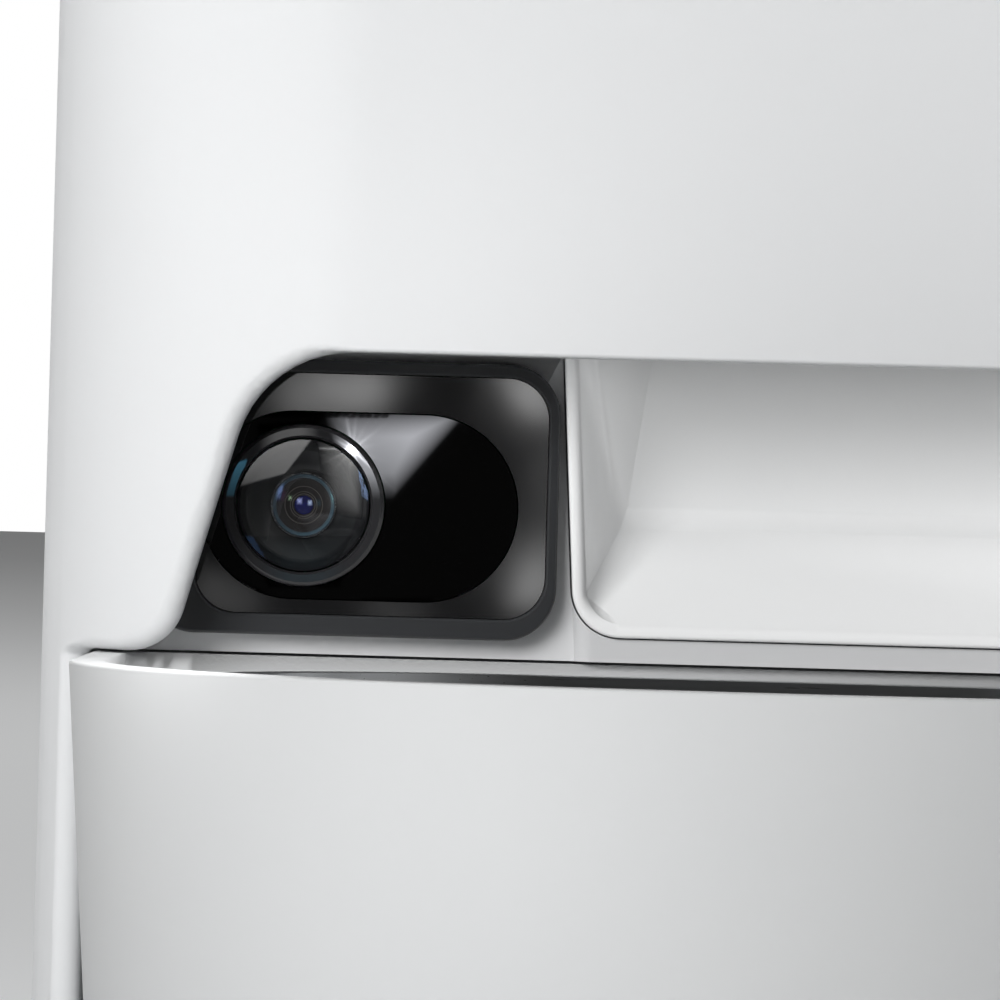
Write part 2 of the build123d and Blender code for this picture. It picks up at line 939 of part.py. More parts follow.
def lens_turning(points):
    """Piece turned about the lens's axis, from points of radius and depth."""
    with BuildPart() as piece:
        with BuildSketch(Plane.XY.offset(lens_z)):
            with BuildLine():
                Polyline(*[(lens_x + radius, depth) for radius, depth in points], close=True)
            make_face()
        revolve(axis=lens_axis)
    return piece.part


# Lens: ring, dome, hood, trim ring, glass and barrel
lens_ring_points = (
    (lens_ring_radius, lens_front + lens_ring_depth),
    (lens_ring_radius, lens_front + bezel_round),
    (lens_ring_radius - bezel_round, lens_front),
    (dome_edge + bezel_round, lens_front),
    (dome_edge + seam, lens_front + bezel_round),
    (dome_edge + seam, lens_front + lens_ring_depth),
)
with BuildPart() as lens_ring:
    add(lens_turning(lens_ring_points))
lens_ring.part.label = "lens_ring"
export_step(lens_ring.part, "parts/lens_ring.step")

dome_drop = sqrt(dome_bulge_radius**2 - dome_edge**2)
dome_inner_radius = dome_bulge_radius - dome_thickness
dome_inner_edge = sqrt(dome_inner_radius**2 - dome_drop**2)
dome_seat = lens_front + bezel_round
dome_centre = dome_seat + dome_drop
with BuildPart() as lens_dome:
    with BuildSketch(Plane.XY.offset(lens_z)):
        with BuildLine():
            Line((lens_x + dome_edge, dome_seat), (lens_x + dome_inner_edge, dome_seat))
            RadiusArc(
                (lens_x + dome_inner_edge, dome_seat),
                (lens_x, dome_centre - dome_inner_radius),
                dome_inner_radius,
            )
            Line(
                (lens_x, dome_centre - dome_inner_radius),
                (lens_x, dome_centre - dome_bulge_radius),
            )
            RadiusArc(
                (lens_x, dome_centre - dome_bulge_radius),
                (lens_x + dome_edge, dome_seat),
                -dome_bulge_radius,
            )
        make_face()
    revolve(axis=lens_axis)
lens_dome.part.label = "lens_dome"
export_step(lens_dome.part, "parts/lens_dome.step")

hood_points = (
    (dome_edge, hood_front),
    (dome_edge, hood_front + hood_thickness),
    (hood_inner_radius, hood_front + hood_depth + hood_thickness),
    (hood_inner_radius, hood_front + hood_depth),
)
with BuildPart() as lens_hood:
    add(lens_turning(hood_points))
lens_hood.part.label = "lens_hood"
export_step(lens_hood.part, "parts/lens_hood.step")

trim_outer = hood_inner_radius - running_gap
trim_front = hood_front + hood_depth - hood_thickness / 2
trim_points = (
    (trim_outer, trim_front),
    (trim_outer, trim_front + trim_ring_depth),
    (trim_outer - trim_ring_width, trim_front + trim_ring_depth),
    (trim_outer - trim_ring_width, trim_front),
)
with BuildPart() as lens_trim_ring:
    add(lens_turning(trim_points))
lens_trim_ring.part.label = "lens_trim_ring"
export_step(lens_trim_ring.part, "parts/lens_trim_ring.step")

glass_radius = trim_outer - trim_ring_width - running_gap
glass_front = barrel_front - lens_edge / 2
with BuildPart() as lens_glass:
    with BuildSketch(Plane.XY.offset(lens_z)):
        with BuildLine():
            ThreePointArc(
                (lens_x - glass_radius, glass_front),
                (lens_x, glass_front - lens_bulge),
                (lens_x + glass_radius, glass_front),
            )
            Polyline(
                (lens_x + glass_radius, glass_front),
                (lens_x + glass_radius, glass_front + lens_edge),
                (lens_x - glass_radius, glass_front + lens_edge),
                (lens_x - glass_radius, glass_front),
            )
        make_face()
        split(bisect_by=Plane.YZ.offset(lens_x))
    revolve(axis=lens_axis)
lens_glass.part.label = "lens_glass"
export_step(lens_glass.part, "parts/lens_glass.step")

with BuildPart() as lens_barrel:
    bar(lens_x, lens_z, barrel_front + seam, barrel_back, barrel_radius)
    bar(lens_x, lens_z, barrel_front - overrun, barrel_back + overrun,
        barrel_bore_radius, Mode.SUBTRACT)
lens_barrel.part.label = "lens_barrel"
export_step(lens_barrel.part, "parts/lens_barrel.step")

with BuildPart() as lens_mount:
    mount_back = camera_board_front
    mount_front = mount_back - mount_depth
    block(
        (lens_x - mount_width / 2, mount_front, lens_z - mount_width / 2),
        (lens_x + mount_width / 2, mount_back, lens_z + mount_width / 2),
    )
    bar(lens_x, lens_z, mount_front - overrun, mount_back + overrun,
        barrel_radius + running_gap, Mode.SUBTRACT)
lens_mount.part.label = "lens_mount"
export_step(lens_mount.part, "parts/lens_mount.step")

with BuildPart() as image_sensor:
    block(
        (lens_x - sensor_width / 2, camera_board_front - sensor_thickness, lens_z - sensor_width / 2),
        (lens_x + sensor_width / 2, camera_board_front, lens_z + sensor_width / 2),
    )
image_sensor.part.label = "image_sensor"
export_step(image_sensor.part, "parts/image_sensor.step")

with BuildPart() as camera_board:
    block(
        (face_x - camera_board_width / 2, camera_board_front, face_z - camera_board_height / 2),
        (
            face_x + camera_board_width / 2,
            camera_board_front + board_thickness,
            face_z + camera_board_height / 2,
        ),
    )
camera_board.part.label = "camera_board"
export_step(camera_board.part, "parts/camera_board.step")

with BuildPart() as ir_leds:
    for across in (1, 2):
        for up in (-1, 1):
            bar(lens_x + barrel_radius + across * led_spacing, lens_z + up * led_spacing / 2,
                camera_board_front - led_length, camera_board_front, led_radius)
ir_leds.part.label = "ir_leds"
export_step(ir_leds.part, "parts/ir_leds.step")

with BuildPart() as camera_housing:
    box_half_width = camera_board_width / 2 + gap + camera_box_wall
    box_half_height = camera_board_height / 2 + gap + camera_box_wall
    block(
        (face_x - box_half_width, liner_back, face_z - box_half_height),
        (face_x + box_half_width, camera_box_back, face_z + box_half_height),
    )
    block(
        (
            face_x - box_half_width + camera_box_wall,
            liner_back,
            face_z - box_half_height + camera_box_wall,
        ),
        (
            face_x + box_half_width - camera_box_wall,
            camera_board_front + board_thickness,
            face_z + box_half_height - camera_box_wall,
        ),
        mode=Mode.SUBTRACT,
    )
    block(
        (
            face_x - box_half_width + camera_box_wall + camera_board_border,
            liner_back,
            face_z - box_half_height + camera_box_wall + camera_board_border,
        ),
        (
            face_x + box_half_width - camera_box_wall - camera_board_border,
            camera_box_back - camera_box_wall,
            face_z + box_half_height - camera_box_wall - camera_board_border,
        ),
        mode=Mode.SUBTRACT,
    )
camera_housing.part.label = "camera_housing"
export_step(camera_housing.part, "parts/camera_housing.step")

# Rotor housing with its outlet, legs and motor posts
with BuildPart() as rotor_housing:
    post(chute_x, rotor_y, rotor_base, housing_top, housing_radius)
    post(chute_x, rotor_y, chamber_floor, housing_top + overrun, chamber_radius, Mode.SUBTRACT)
    for angle in leg_angles:
        leg_x = chute_x + leg_circle * cos(radians(angle))
        leg_y = rotor_y + leg_circle * sin(radians(angle))
        leg_foot = base_top if leg_y > bay_back else niche_floor + seam + bay_wall
        post(leg_x, leg_y, leg_foot, chamber_floor, leg_radius)
    for x in (chute_x - motor_ear_reach, chute_x + motor_ear_reach):
        post(x, drive_y, gearbox_top, chamber_floor, motor_post_radius)
    post(chute_x, rotor_y, chamber_floor, housing_top + overrun, chamber_radius, Mode.SUBTRACT)
    with BuildSketch(Plane.XY.offset(rotor_base)):
        with Locations((chute_x, rotor_y)):
            Circle(outlet_radius)
        with Locations((chute_x, outlet_back - 2 * outlet_margin - outlet_radius)):
            Rectangle(2 * outlet_half, 2 * outlet_radius, mode=Mode.INTERSECT)
    extrude(amount=housing_floor, mode=Mode.SUBTRACT)
    post(chute_x, rotor_y, rotor_base - overrun, chamber_floor + overrun,
         shaft_radius + running_gap, Mode.SUBTRACT)
rotor_housing.part.label = "rotor_housing"
export_step(rotor_housing.part, "parts/rotor_housing.step")

# Rotor: hub, vanes, stirrer and shaft
with BuildPart() as rotor_hub:
    post(chute_x, rotor_y, rotor_bottom, rotor_top, hub_radius)
    post(chute_x, rotor_y, rotor_bottom, rotor_top, shaft_radius + running_gap, Mode.SUBTRACT)
rotor_hub.part.label = "rotor_hub"
export_step(rotor_hub.part, "parts/rotor_hub.step")

with BuildPart() as rotor_vanes:
    with BuildSketch(Plane.XY.offset(rotor_bottom)):
        with Locations((chute_x, rotor_y)):
            Circle(hub_radius + running_gap + vane_sleeve)
            with PolarLocations(0, vane_count):
                with Locations(((hub_radius + vane_reach) / 2, 0)):
                    Rectangle(vane_reach - hub_radius, vane_thickness)
            Circle(hub_radius + running_gap, mode=Mode.SUBTRACT)
    extrude(amount=rotor_top - rotor_bottom)
rotor_vanes.part.label = "rotor_vanes"
export_step(rotor_vanes.part, "parts/rotor_vanes.step")

with BuildPart() as stirrer:
    stirrer_bottom = housing_top + hopper_floor + gap
    post(chute_x, rotor_y, stirrer_bottom, stirrer_bottom + stirrer_height, stirrer_boss_radius)
    with BuildSketch(Plane.XY.offset(stirrer_bottom)):
        with Locations((chute_x, rotor_y)):
            with PolarLocations(0, stirrer_arms):
                with Locations((stirrer_reach / 2, 0)):
                    SlotOverall(stirrer_reach, stirrer_arm)
    extrude(amount=stirrer_arm)
    post(chute_x, rotor_y, stirrer_bottom, stirrer_bottom + stirrer_height,
         shaft_radius + running_gap, Mode.SUBTRACT)
stirrer.part.label = "stirrer"
export_step(stirrer.part, "parts/stirrer.step")

with BuildPart() as rotor_shaft:
    post(chute_x, rotor_y, shaft_bottom, stirrer_bottom + stirrer_height, shaft_radius)
    chamfer(rotor_shaft.edges().group_by(Axis.Z)[-1], gap)
rotor_shaft.part.label = "rotor_shaft"
export_step(rotor_shaft.part, "parts/rotor_shaft.step")

# Gear on the rotor's shaft and gear on the motor's shaft
with BuildPart() as rotor_gear:
    add(spur_gear(rotor_teeth, shaft_radius + running_gap, 90).moved(Location((chute_x, rotor_y, 0))))
rotor_gear.part.label = "rotor_gear"
export_step(rotor_gear.part, "parts/rotor_gear.step")

with BuildPart() as drive_gear:
    half_tooth = 180 / drive_teeth
    add(
        spur_gear(drive_teeth, drive_shaft_radius + running_gap, -90 + half_tooth).moved(
            Location((chute_x, drive_y, 0))
        )
    )
drive_gear.part.label = "drive_gear"
export_step(drive_gear.part, "parts/drive_gear.step")

with BuildPart() as drive_shaft:
    post(chute_x, drive_y, gearbox_top + running_gap, gear_top, drive_shaft_radius)
drive_shaft.part.label = "drive_shaft"
export_step(drive_shaft.part, "parts/drive_shaft.step")

# Gear motor under the housing
with BuildPart() as gear_motor:
    block(
        (chute_x - gearbox_width / 2, drive_y - gearbox_width / 2, gearbox_bottom),
        (chute_x + gearbox_width / 2, drive_y + gearbox_width / 2, gearbox_top),
    )
    fillet(gear_motor.edges().filter_by(Axis.Z), motor_ear_thickness)
    block(
        (
            chute_x - motor_ear_reach - motor_post_radius,
            drive_y - motor_ear_width / 2,
            gearbox_top - motor_ear_thickness,
        ),
        (
            chute_x + motor_ear_reach + motor_post_radius,
            drive_y + motor_ear_width / 2,
            gearbox_top,
        ),
    )
    post(chute_x, drive_y, motor_bottom, gearbox_bottom, motor_radius)
gear_motor.part.label = "gear_motor"
export_step(gear_motor.part, "parts/gear_motor.step")

# Hopper with its funnel, throat and flange
with BuildPart() as hopper:
    throat_y = rotor_y + throat_shift
    post(chute_x, rotor_y, housing_top, housing_top + hopper_floor, housing_radius)
    with BuildSketch(Plane.XY.offset(housing_top)):
        with Locations((chute_x, throat_y)):
            Circle(throat_radius + hopper_wall)
    with BuildSketch(Plane.XY.offset(funnel_top)):
        with Locations((0, hopper_middle)):
            RectangleRounded(2 * hopper_half, hopper_depth, hopper_corner)
    loft()
    extrude(hopper_plan(0, funnel_top), amount=hopper_rim - funnel_top)
    extrude(hopper_plan(hopper_inset - wall - gap, flange_bottom), amount=hopper_flange)
    with BuildSketch(Plane.XY.offset(housing_top)):
        with Locations((chute_x, throat_y)):
            Circle(throat_radius)
    with BuildSketch(Plane.XY.offset(funnel_top)):
        with Locations((0, hopper_middle)):
            RectangleRounded(
                2 * (hopper_half - hopper_wall),
                hopper_depth - 2 * hopper_wall,
                hopper_corner - hopper_wall,
            )
    loft(mode=Mode.SUBTRACT)
    extrude(
        hopper_plan(-hopper_wall, funnel_top), amount=hopper_rim - funnel_top, mode=Mode.SUBTRACT
    )
hopper.part.label = "hopper"
export_step(hopper.part, "parts/hopper.step")

# Lid with its posts and hinge knuckles
with BuildPart() as lid_hollow:
    extrude(body_plan(wall, lid_bottom), amount=lid_height - wall)
    fillet(lid_hollow.edges().group_by(Axis.Z)[-1], lid_top_round - wall)

with BuildPart() as lid:
    extrude(body_plan(0, lid_bottom), amount=lid_height)
    fillet(lid.edges().group_by(Axis.Z)[-1], lid_top_round)
    add(lid_hollow.part, mode=Mode.SUBTRACT)
    for x in (-lid_post_x, lid_post_x):
        for y in (body_front + lid_post_inset, hopper_back - lid_post_inset):
            post(x, y, lid_plate_top, height - wall / 2, lid_post_radius)
    for side in (-1, 1):
        ends = sorted((side * lid_knuckle_inner, side * lid_knuckle_outer))
        crossbar(*ends, hinge_y, hinge_z, knuckle_radius)
        block(
            (ends[0], inner_back + gap - hinge_arm_thickness, hinge_z),
            (ends[1], inner_back + gap, lid_bottom + hinge_drop),
        )
    crossbar(
        -lid_knuckle_outer, lid_knuckle_outer, hinge_y, hinge_z,
        hinge_pin_radius + running_gap, mode=Mode.SUBTRACT,
    )
    lock_slot = lid_bottom + lock_slot_level
    block(
        (-lock_foot_length - lock_stem_width - gap, body_front - overrun, lock_slot),
        (lock_travel - lock_foot_length + gap, inner_front + overrun, lock_slot + lock_slot_height),
        mode=Mode.SUBTRACT,
    )
lid.part.label = "lid"
export_step(lid.part, "parts/lid.step")

with BuildPart() as hinge_pin:
    crossbar(-body_knuckle_outer, body_knuckle_outer, hinge_y, hinge_z, hinge_pin_radius)
hinge_pin.part.label = "hinge_pin"
export_step(hinge_pin.part, "parts/hinge_pin.step")

# Lock that slides along the lid's front
with BuildPart() as lid_lock:
    stem_left = -lock_foot_length - lock_stem_width
    stem_front = inner_front + gap
    foot_bottom = flange_top + gap
    block(
        (stem_left, stem_front, foot_bottom),
        (-lock_foot_length, stem_front + lock_thickness, lock_slot + lock_slot_height - gap),
    )
    block(
        (stem_left, stem_front, foot_bottom),
        (0, stem_front + lock_thickness, foot_bottom + lock_foot_height),
    )
    block(
        (stem_left, body_front - gap, lock_slot + gap),
        (-lock_foot_length, stem_front + gap, lock_slot + lock_slot_height - gap),
    )
    pad_middle = stem_left + lock_stem_width / 2
    pad_level = lock_slot + lock_slot_height / 2
    with BuildSketch(front_plane(body_front - gap)):
        with Locations((pad_middle, pad_level)):
            RectangleRounded(lock_pad_width, lock_pad_height, lock_pad_corner)
    extrude(amount=lock_pad_rise)
    pad_face = lid_lock.edges().group_by(Axis.Y)[0]
    fillet(pad_face, lock_pad_rise / 2)
lid_lock.part.label = "lid_lock"
export_step(lid_lock.part, "parts/lid_lock.step")

# Inner plate of the lid, its seal and the desiccant holder
with BuildPart() as lid_inner:
    extrude(hopper_plan(hopper_inset - lid_plate_inset, lid_plate_bottom), amount=lid_plate_thickness)
lid_inner.part.label = "lid_inner"
export_step(lid_inner.part, "parts/lid_inner.step")

with BuildPart() as lid_seal:
    seal_height = lid_plate_bottom - hopper_rim - gap
    extrude(hopper_plan(gap, lid_plate_bottom - seal_height), amount=seal_height)
    extrude(
        hopper_plan(gap - seal_width, lid_plate_bottom - seal_height),
        amount=seal_height,
        mode=Mode.SUBTRACT,
    )
lid_seal.part.label = "lid_seal"
export_step(lid_seal.part, "parts/lid_seal.step")

with BuildPart() as desiccant_holder:
    half = desiccant_width / 2
    holder_bottom = lid_plate_bottom - desiccant_height
    block(
        (-half, hopper_middle - half, holder_bottom),
        (half, hopper_middle + half, lid_plate_bottom),
    )
    fillet(desiccant_holder.edges().filter_by(Axis.Z), desiccant_height / 2)
    block(
        (
            -half + desiccant_wall,
            hopper_middle - half + desiccant_wall,
            holder_bottom + desiccant_wall,
        ),
        (
            half - desiccant_wall,
            hopper_middle + half - desiccant_wall,
            lid_plate_bottom,
        ),
        mode=Mode.SUBTRACT,
    )
    with BuildSketch(Plane.XY.offset(holder_bottom)):
        with Locations((0, hopper_middle)):
            with GridLocations(desiccant_width / desiccant_slots, 0, desiccant_slots - 1, 1):
                SlotOverall(
                    desiccant_width - desiccant_height, desiccant_slot_width, rotation=90
                )
    extrude(amount=desiccant_wall, mode=Mode.SUBTRACT)
desiccant_holder.part.label = "desiccant_holder"
export_step(desiccant_holder.part, "parts/desiccant_holder.step")

# Feed button, its light ring and board
with BuildPart() as feed_button:
    bar(0, button_level, body_front - button_proud, inner_front + gap + button_flange_thickness,
        button_radius)
    fillet(feed_button.edges().group_by(Axis.Y)[0], button_dish)
    bar(0, button_level, inner_front + gap, inner_front + gap + button_flange_thickness,
        button_flange_radius)
feed_button.part.label = "feed_button"
export_step(feed_button.part, "parts/feed_button.step")

with BuildPart() as indicator_ring:
    bar(0, button_level, body_front, inner_front, button_radius + gap + indicator_width)
    bar(0, button_level, body_front, inner_front, button_radius + gap, Mode.SUBTRACT)
indicator_ring.part.label = "indicator_ring"
export_step(indicator_ring.part, "parts/indicator_ring.step")

with BuildPart() as button_board:
    board_face = inner_front + button_board_setback
    block(
        (-button_board_width / 2, board_face, button_level - button_board_height / 2),
        (
            button_board_width / 2,
            board_face + board_thickness,
            button_level + button_board_height / 2,
        ),
    )
    switch_front = inner_front + gap + button_flange_thickness + button_travel + switch_gap
    block(
        (-switch_width / 2, switch_front, button_level - switch_width / 2),
        (switch_width / 2, board_face, button_level + switch_width / 2),
    )
button_board.part.label = "button_board"
export_step(button_board.part, "parts/button_board.step")

# Tray with its deck, and the bowl
with BuildPart() as tray_hollow:
    hollow_bottom = tray_bottom + tray_wall
    hollow_top = flange_seat - tray_wall
    low_share = (hollow_bottom - tray_bottom) / (tray_top - tray_bottom)
    high_share = (hollow_top - tray_bottom) / (tray_top - tray_bottom)
    add(tray_plan(tray_wall + tray_draft * (1 - low_share), hollow_bottom))
    add(tray_plan(tray_wall + tray_draft * (1 - high_share), hollow_top))
    loft(ruled=True)

with BuildPart() as tray:
    add(tray_plan(tray_draft, tray_bottom))
    add(tray_plan(0, tray_top))
    loft(ruled=True)
    fillet(tray.edges().group_by(Axis.Z)[-1], tray_rim_round)
    add(tray_hollow.part, mode=Mode.SUBTRACT)
    extrude(
        bowed_plan(deck_margin, deck_back, deck_corner, flange_seat),
        amount=tray_top,
        mode=Mode.SUBTRACT,
    )
    extrude(
        bowl_plan(bowl_flange - bowl_gap, hollow_top - overrun),
        amount=tray_top,
        mode=Mode.SUBTRACT,
    )
tray.part.label = "tray"
export_step(tray.part, "parts/tray.step")


def cup(inset):
    """Solid form of the bowl's cup, drawn in by the thickness of its metal."""
    floor = flange_seat - bowl_depth + inset
    with BuildPart() as form:
        add(bowl_plan(bowl_flange + bowl_draft + inset, floor))
        add(bowl_plan(bowl_flange + inset, flange_seat + bowl_metal))
        loft(ruled=True)
        fillet(form.edges().group_by(Axis.Z)[0], bowl_bottom_round - inset)
    return form.part


with BuildPart() as steel_bowl:
    extrude(bowl_plan(0, flange_seat), amount=bowl_metal)
    add(cup(0))
    add(cup(bowl_metal), mode=Mode.SUBTRACT)
steel_bowl.part.label = "steel_bowl"
export_step(steel_bowl.part, "parts/steel_bowl.step")

# Pads under the tray and feet under the base
pad_places = (
    ("tray_pad_front_left", -pad_front_x, tray_front + pad_front_inset),
    ("tray_pad_front_right", pad_front_x, tray_front + pad_front_inset),
    ("tray_pad_rear_left", -pad_rear_x, tray_back - pad_rear_inset),
    ("tray_pad_rear_right", pad_rear_x, tray_back - pad_rear_inset),
)
for name, x, y in pad_places:
    with BuildPart() as tray_pad:
        post(x, y, 0, tray_bottom, pad_radius)
        fillet(tray_pad.edges().group_by(Axis.Z)[0], gap)
    tray_pad.part.label = name
    export_step(tray_pad.part, f"parts/{name}.step")

for name, side in (("foot_rear_left", -1), ("foot_rear_right", 1)):
    with BuildPart() as rear_foot:
        post(side * base_foot_x, body_back - base_foot_inset, 0, foot_height, base_foot_radius)
        fillet(rear_foot.edges().group_by(Axis.Z)[0], gap)
    rear_foot.part.label = name
    export_step(rear_foot.part, f"parts/{name}.step")

arm_outer = inner_half - gap
arm_inner = arm_outer - base_arm_width
arm_front = niche_rim_back + gap
for name, side in (("foot_front_left", -1), ("foot_front_right", 1)):
    with BuildPart() as front_foot:
        middle = side * (arm_outer + arm_inner) / 2
        block(
            (middle - arm_foot_width / 2, arm_front + gap, 0),
            (middle + arm_foot_width / 2, arm_front + gap + arm_foot_length, foot_height),
        )
        fillet(front_foot.edges().group_by(Axis.Z)[0], gap)
    front_foot.part.label = name
    export_step(front_foot.part, f"parts/{name}.step")

# Base with its arms beside the tray
with BuildPart() as base_pan:
    extrude(body_plan(wall + gap, shell_bottom), amount=base_thickness)
    block(
        (-arm_inner, body_front - overrun, shell_bottom),
        (arm_inner, base_front - bay_wall, base_top),
        mode=Mode.SUBTRACT,
    )
    block(
        (-half_width, body_front - overrun, shell_bottom),
        (half_width, arm_front, base_top),
        mode=Mode.SUBTRACT,
    )
    for x in (-inner_half + boss_inset, inner_half - boss_inset):
        for y in boss_places:
            post(x, y, shell_bottom, base_top, screw_radius + seam, Mode.SUBTRACT)
            post(x, y, shell_bottom, shell_bottom + screw_head_height, screw_head_radius + seam,
                 Mode.SUBTRACT)
base_pan.part.label = "base_pan"
export_step(base_pan.part, "parts/base_pan.step")

with BuildPart() as base_screws:
    for x in (-inner_half + boss_inset, inner_half - boss_inset):
        for y in boss_places:
            post(x, y, shell_bottom, shell_bottom + screw_head_height, screw_head_radius)
            post(x, y, shell_bottom + screw_head_height, base_top + screw_length - seam, screw_radius)
base_screws.part.label = "base_screws"
export_step(base_screws.part, "parts/base_screws.step")

# Bay that holds the back of the tray
with BuildPart() as tray_bay:
    bay_roof = niche_floor + seam
    bay_outer = bay_half + bay_wall
    block((-bay_outer, arm_front, bay_roof), (bay_outer, bay_back, bay_roof + bay_wall))
    strip_half = inner_half - niche_wall - bay_strip_inset + bay_wall
    block(
        (-strip_half, liner_back + gap, bay_roof),
        (strip_half, arm_front + gap, bay_roof + bay_wall),
    )
    block((-bay_outer, bay_back - bay_wall, base_top), (bay_outer, bay_back, bay_roof + bay_wall))
    for side in (-1, 1):
        ends = sorted((side * bay_half, side * bay_outer))
        block((ends[0], arm_front, base_top), (ends[1], bay_back, bay_roof + bay_wall))
tray_bay.part.label = "tray_bay"
export_step(tray_bay.part, "parts/tray_bay.step")

# Battery bay with its feet, contacts and door
with BuildPart() as battery_bay:
    block(
        (battery_left - battery_wall, battery_front - battery_wall, battery_bottom - battery_wall),
        (battery_right + battery_wall, inner_back, battery_top + battery_wall),
    )
    block(
        (battery_left, battery_front, battery_bottom),
        (battery_right, inner_back + overrun, battery_top),
        mode=Mode.SUBTRACT,
    )
    for x in (battery_left, battery_right):
        block(
            (x - battery_wall, battery_front, base_top),
            (x + battery_wall, inner_back - overrun, battery_bottom - battery_wall),
        )
battery_bay.part.label = "battery_bay"
export_step(battery_bay.part, "parts/battery_bay.step")

with BuildPart() as battery_contacts:
    for row in range(contact_rows):
        level = battery_bottom + battery_height * (2 * row + 1) / (2 * contact_rows)
        for side in (-1, 1):
            end = battery_x + side * battery_width / 2
            ends = sorted((end, end - side * contact_thickness))
            for back in (0, 1):
                centre_y = battery_front + battery_depth * (2 * back + 1) / (2 * contact_rows)
                block(
                    (ends[0], centre_y - contact_width / 2, level - contact_width / 2),
                    (ends[1], centre_y + contact_width / 2, level + contact_width / 2),
                )
                with Locations(
                    Location((end - side * (contact_thickness + contact_cone / 2), centre_y, level),
                             (0, -90 * side, 0))
                ):
                    Cone(contact_cone_radius, contact_tip_radius, contact_cone)
battery_contacts.part.label = "battery_contacts"
export_step(battery_contacts.part, "parts/battery_contacts.step")

with BuildPart() as battery_door:
    block(
        (battery_left + gap, body_back - door_thickness, door_axis_z),
        (battery_right - gap, body_back, battery_top - gap),
    )
    crossbar(battery_left + gap, battery_right - gap, door_axis_y, door_axis_z, door_thickness / 2)
    crossbar(
        battery_left - door_stub_length, battery_right + door_stub_length,
        door_axis_y, door_axis_z, door_stub_radius,
    )
    grip_top = battery_top - gap - door_grip_height
    block(
        (battery_x - door_grip_width / 2, body_back - door_grip_depth, grip_top - door_grip_height),
        (battery_x + door_grip_width / 2, body_back + overrun, grip_top),
        mode=Mode.SUBTRACT,
    )
battery_door.part.label = "battery_door"
export_step(battery_door.part, "parts/battery_door.step")

# Main board with its chips and the reset switch
with BuildPart() as main_board:
    board_top = base_top + board_height
    block((board_left, board_front, base_top), (board_right, board_back, board_top))
    block(
        (board_left + chip_width / 2, board_front - chip_height, board_top - 2 * chip_width),
        (board_left + 3 * chip_width / 2, board_front, board_top - chip_width),
    )
    block(
        (board_right - radio_width - chip_width / 2, board_front - chip_height, board_top - radio_width),
        (board_right - chip_width / 2, board_front, board_top - chip_height),
    )
    reset_switch_back = board_back + reset_switch_height
    block(
        (inlet_x - switch_width / 2, board_back, reset_level - switch_width / 2),
        (inlet_x + switch_width / 2, reset_switch_back, reset_level + switch_width / 2),
    )
main_board.part.label = "main_board"
export_step(main_board.part, "parts/main_board.step")

# Plate with the inlet's slot and the reset button's hole
with BuildPart() as inlet_plate:
    with BuildSketch(front_plane(body_back)):
        with Locations((inlet_x, inlet_plate_level)):
            RectangleRounded(inlet_plate_width, inlet_plate_height, inlet_plate_corner)
        with Locations((inlet_x, inlet_level)):
            SlotOverall(inlet_slot_width, inlet_slot_height, mode=Mode.SUBTRACT)
        with Locations((inlet_x, reset_level)):
            Circle(reset_radius + seam, mode=Mode.SUBTRACT)
    extrude(amount=wall)
inlet_plate.part.label = "inlet_plate"
export_step(inlet_plate.part, "parts/inlet_plate.step")

with BuildPart() as power_inlet:
    with BuildSketch(front_plane(inner_back - seam)):
        with Locations((inlet_x, inlet_level)):
            SlotOverall(inlet_width, inlet_height)
    extrude(amount=board_setback - seam)
    with BuildSketch(front_plane(inner_back - seam)):
        with Locations((inlet_x, inlet_level)):
            SlotOverall(inlet_width - 2 * inlet_wall, inlet_height - 2 * inlet_wall)
    extrude(amount=board_setback - inlet_height, mode=Mode.SUBTRACT)
power_inlet.part.label = "power_inlet"
export_step(power_inlet.part, "parts/power_inlet.step")

with BuildPart() as reset_button:
    bar(inlet_x, reset_level, inner_back - seam, body_back - reset_recess, reset_radius)
    bar(inlet_x, reset_level, reset_switch_back + reset_travel + switch_gap, inner_back - seam,
        reset_flange_radius)
reset_button.part.label = "reset_button"
export_step(reset_button.part, "parts/reset_button.step")

with BuildPart() as speaker:
    bar(0, speaker_level, inner_back - speaker_frame, inner_back - seam, speaker_radius)
    bar(0, speaker_level, inner_back - speaker_frame - speaker_magnet_depth,
        inner_back - speaker_frame, speaker_magnet_radius)
speaker.part.label = "speaker"
export_step(speaker.part, "parts/speaker.step")
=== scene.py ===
"""Automatic pet feeder with a camera: its finishes, lens and studio, built round its CAD frame."""

import json
import logging
import math
from dataclasses import dataclass, field
from enum import Enum

import bmesh
import bpy
from mathutils import Matrix, Vector

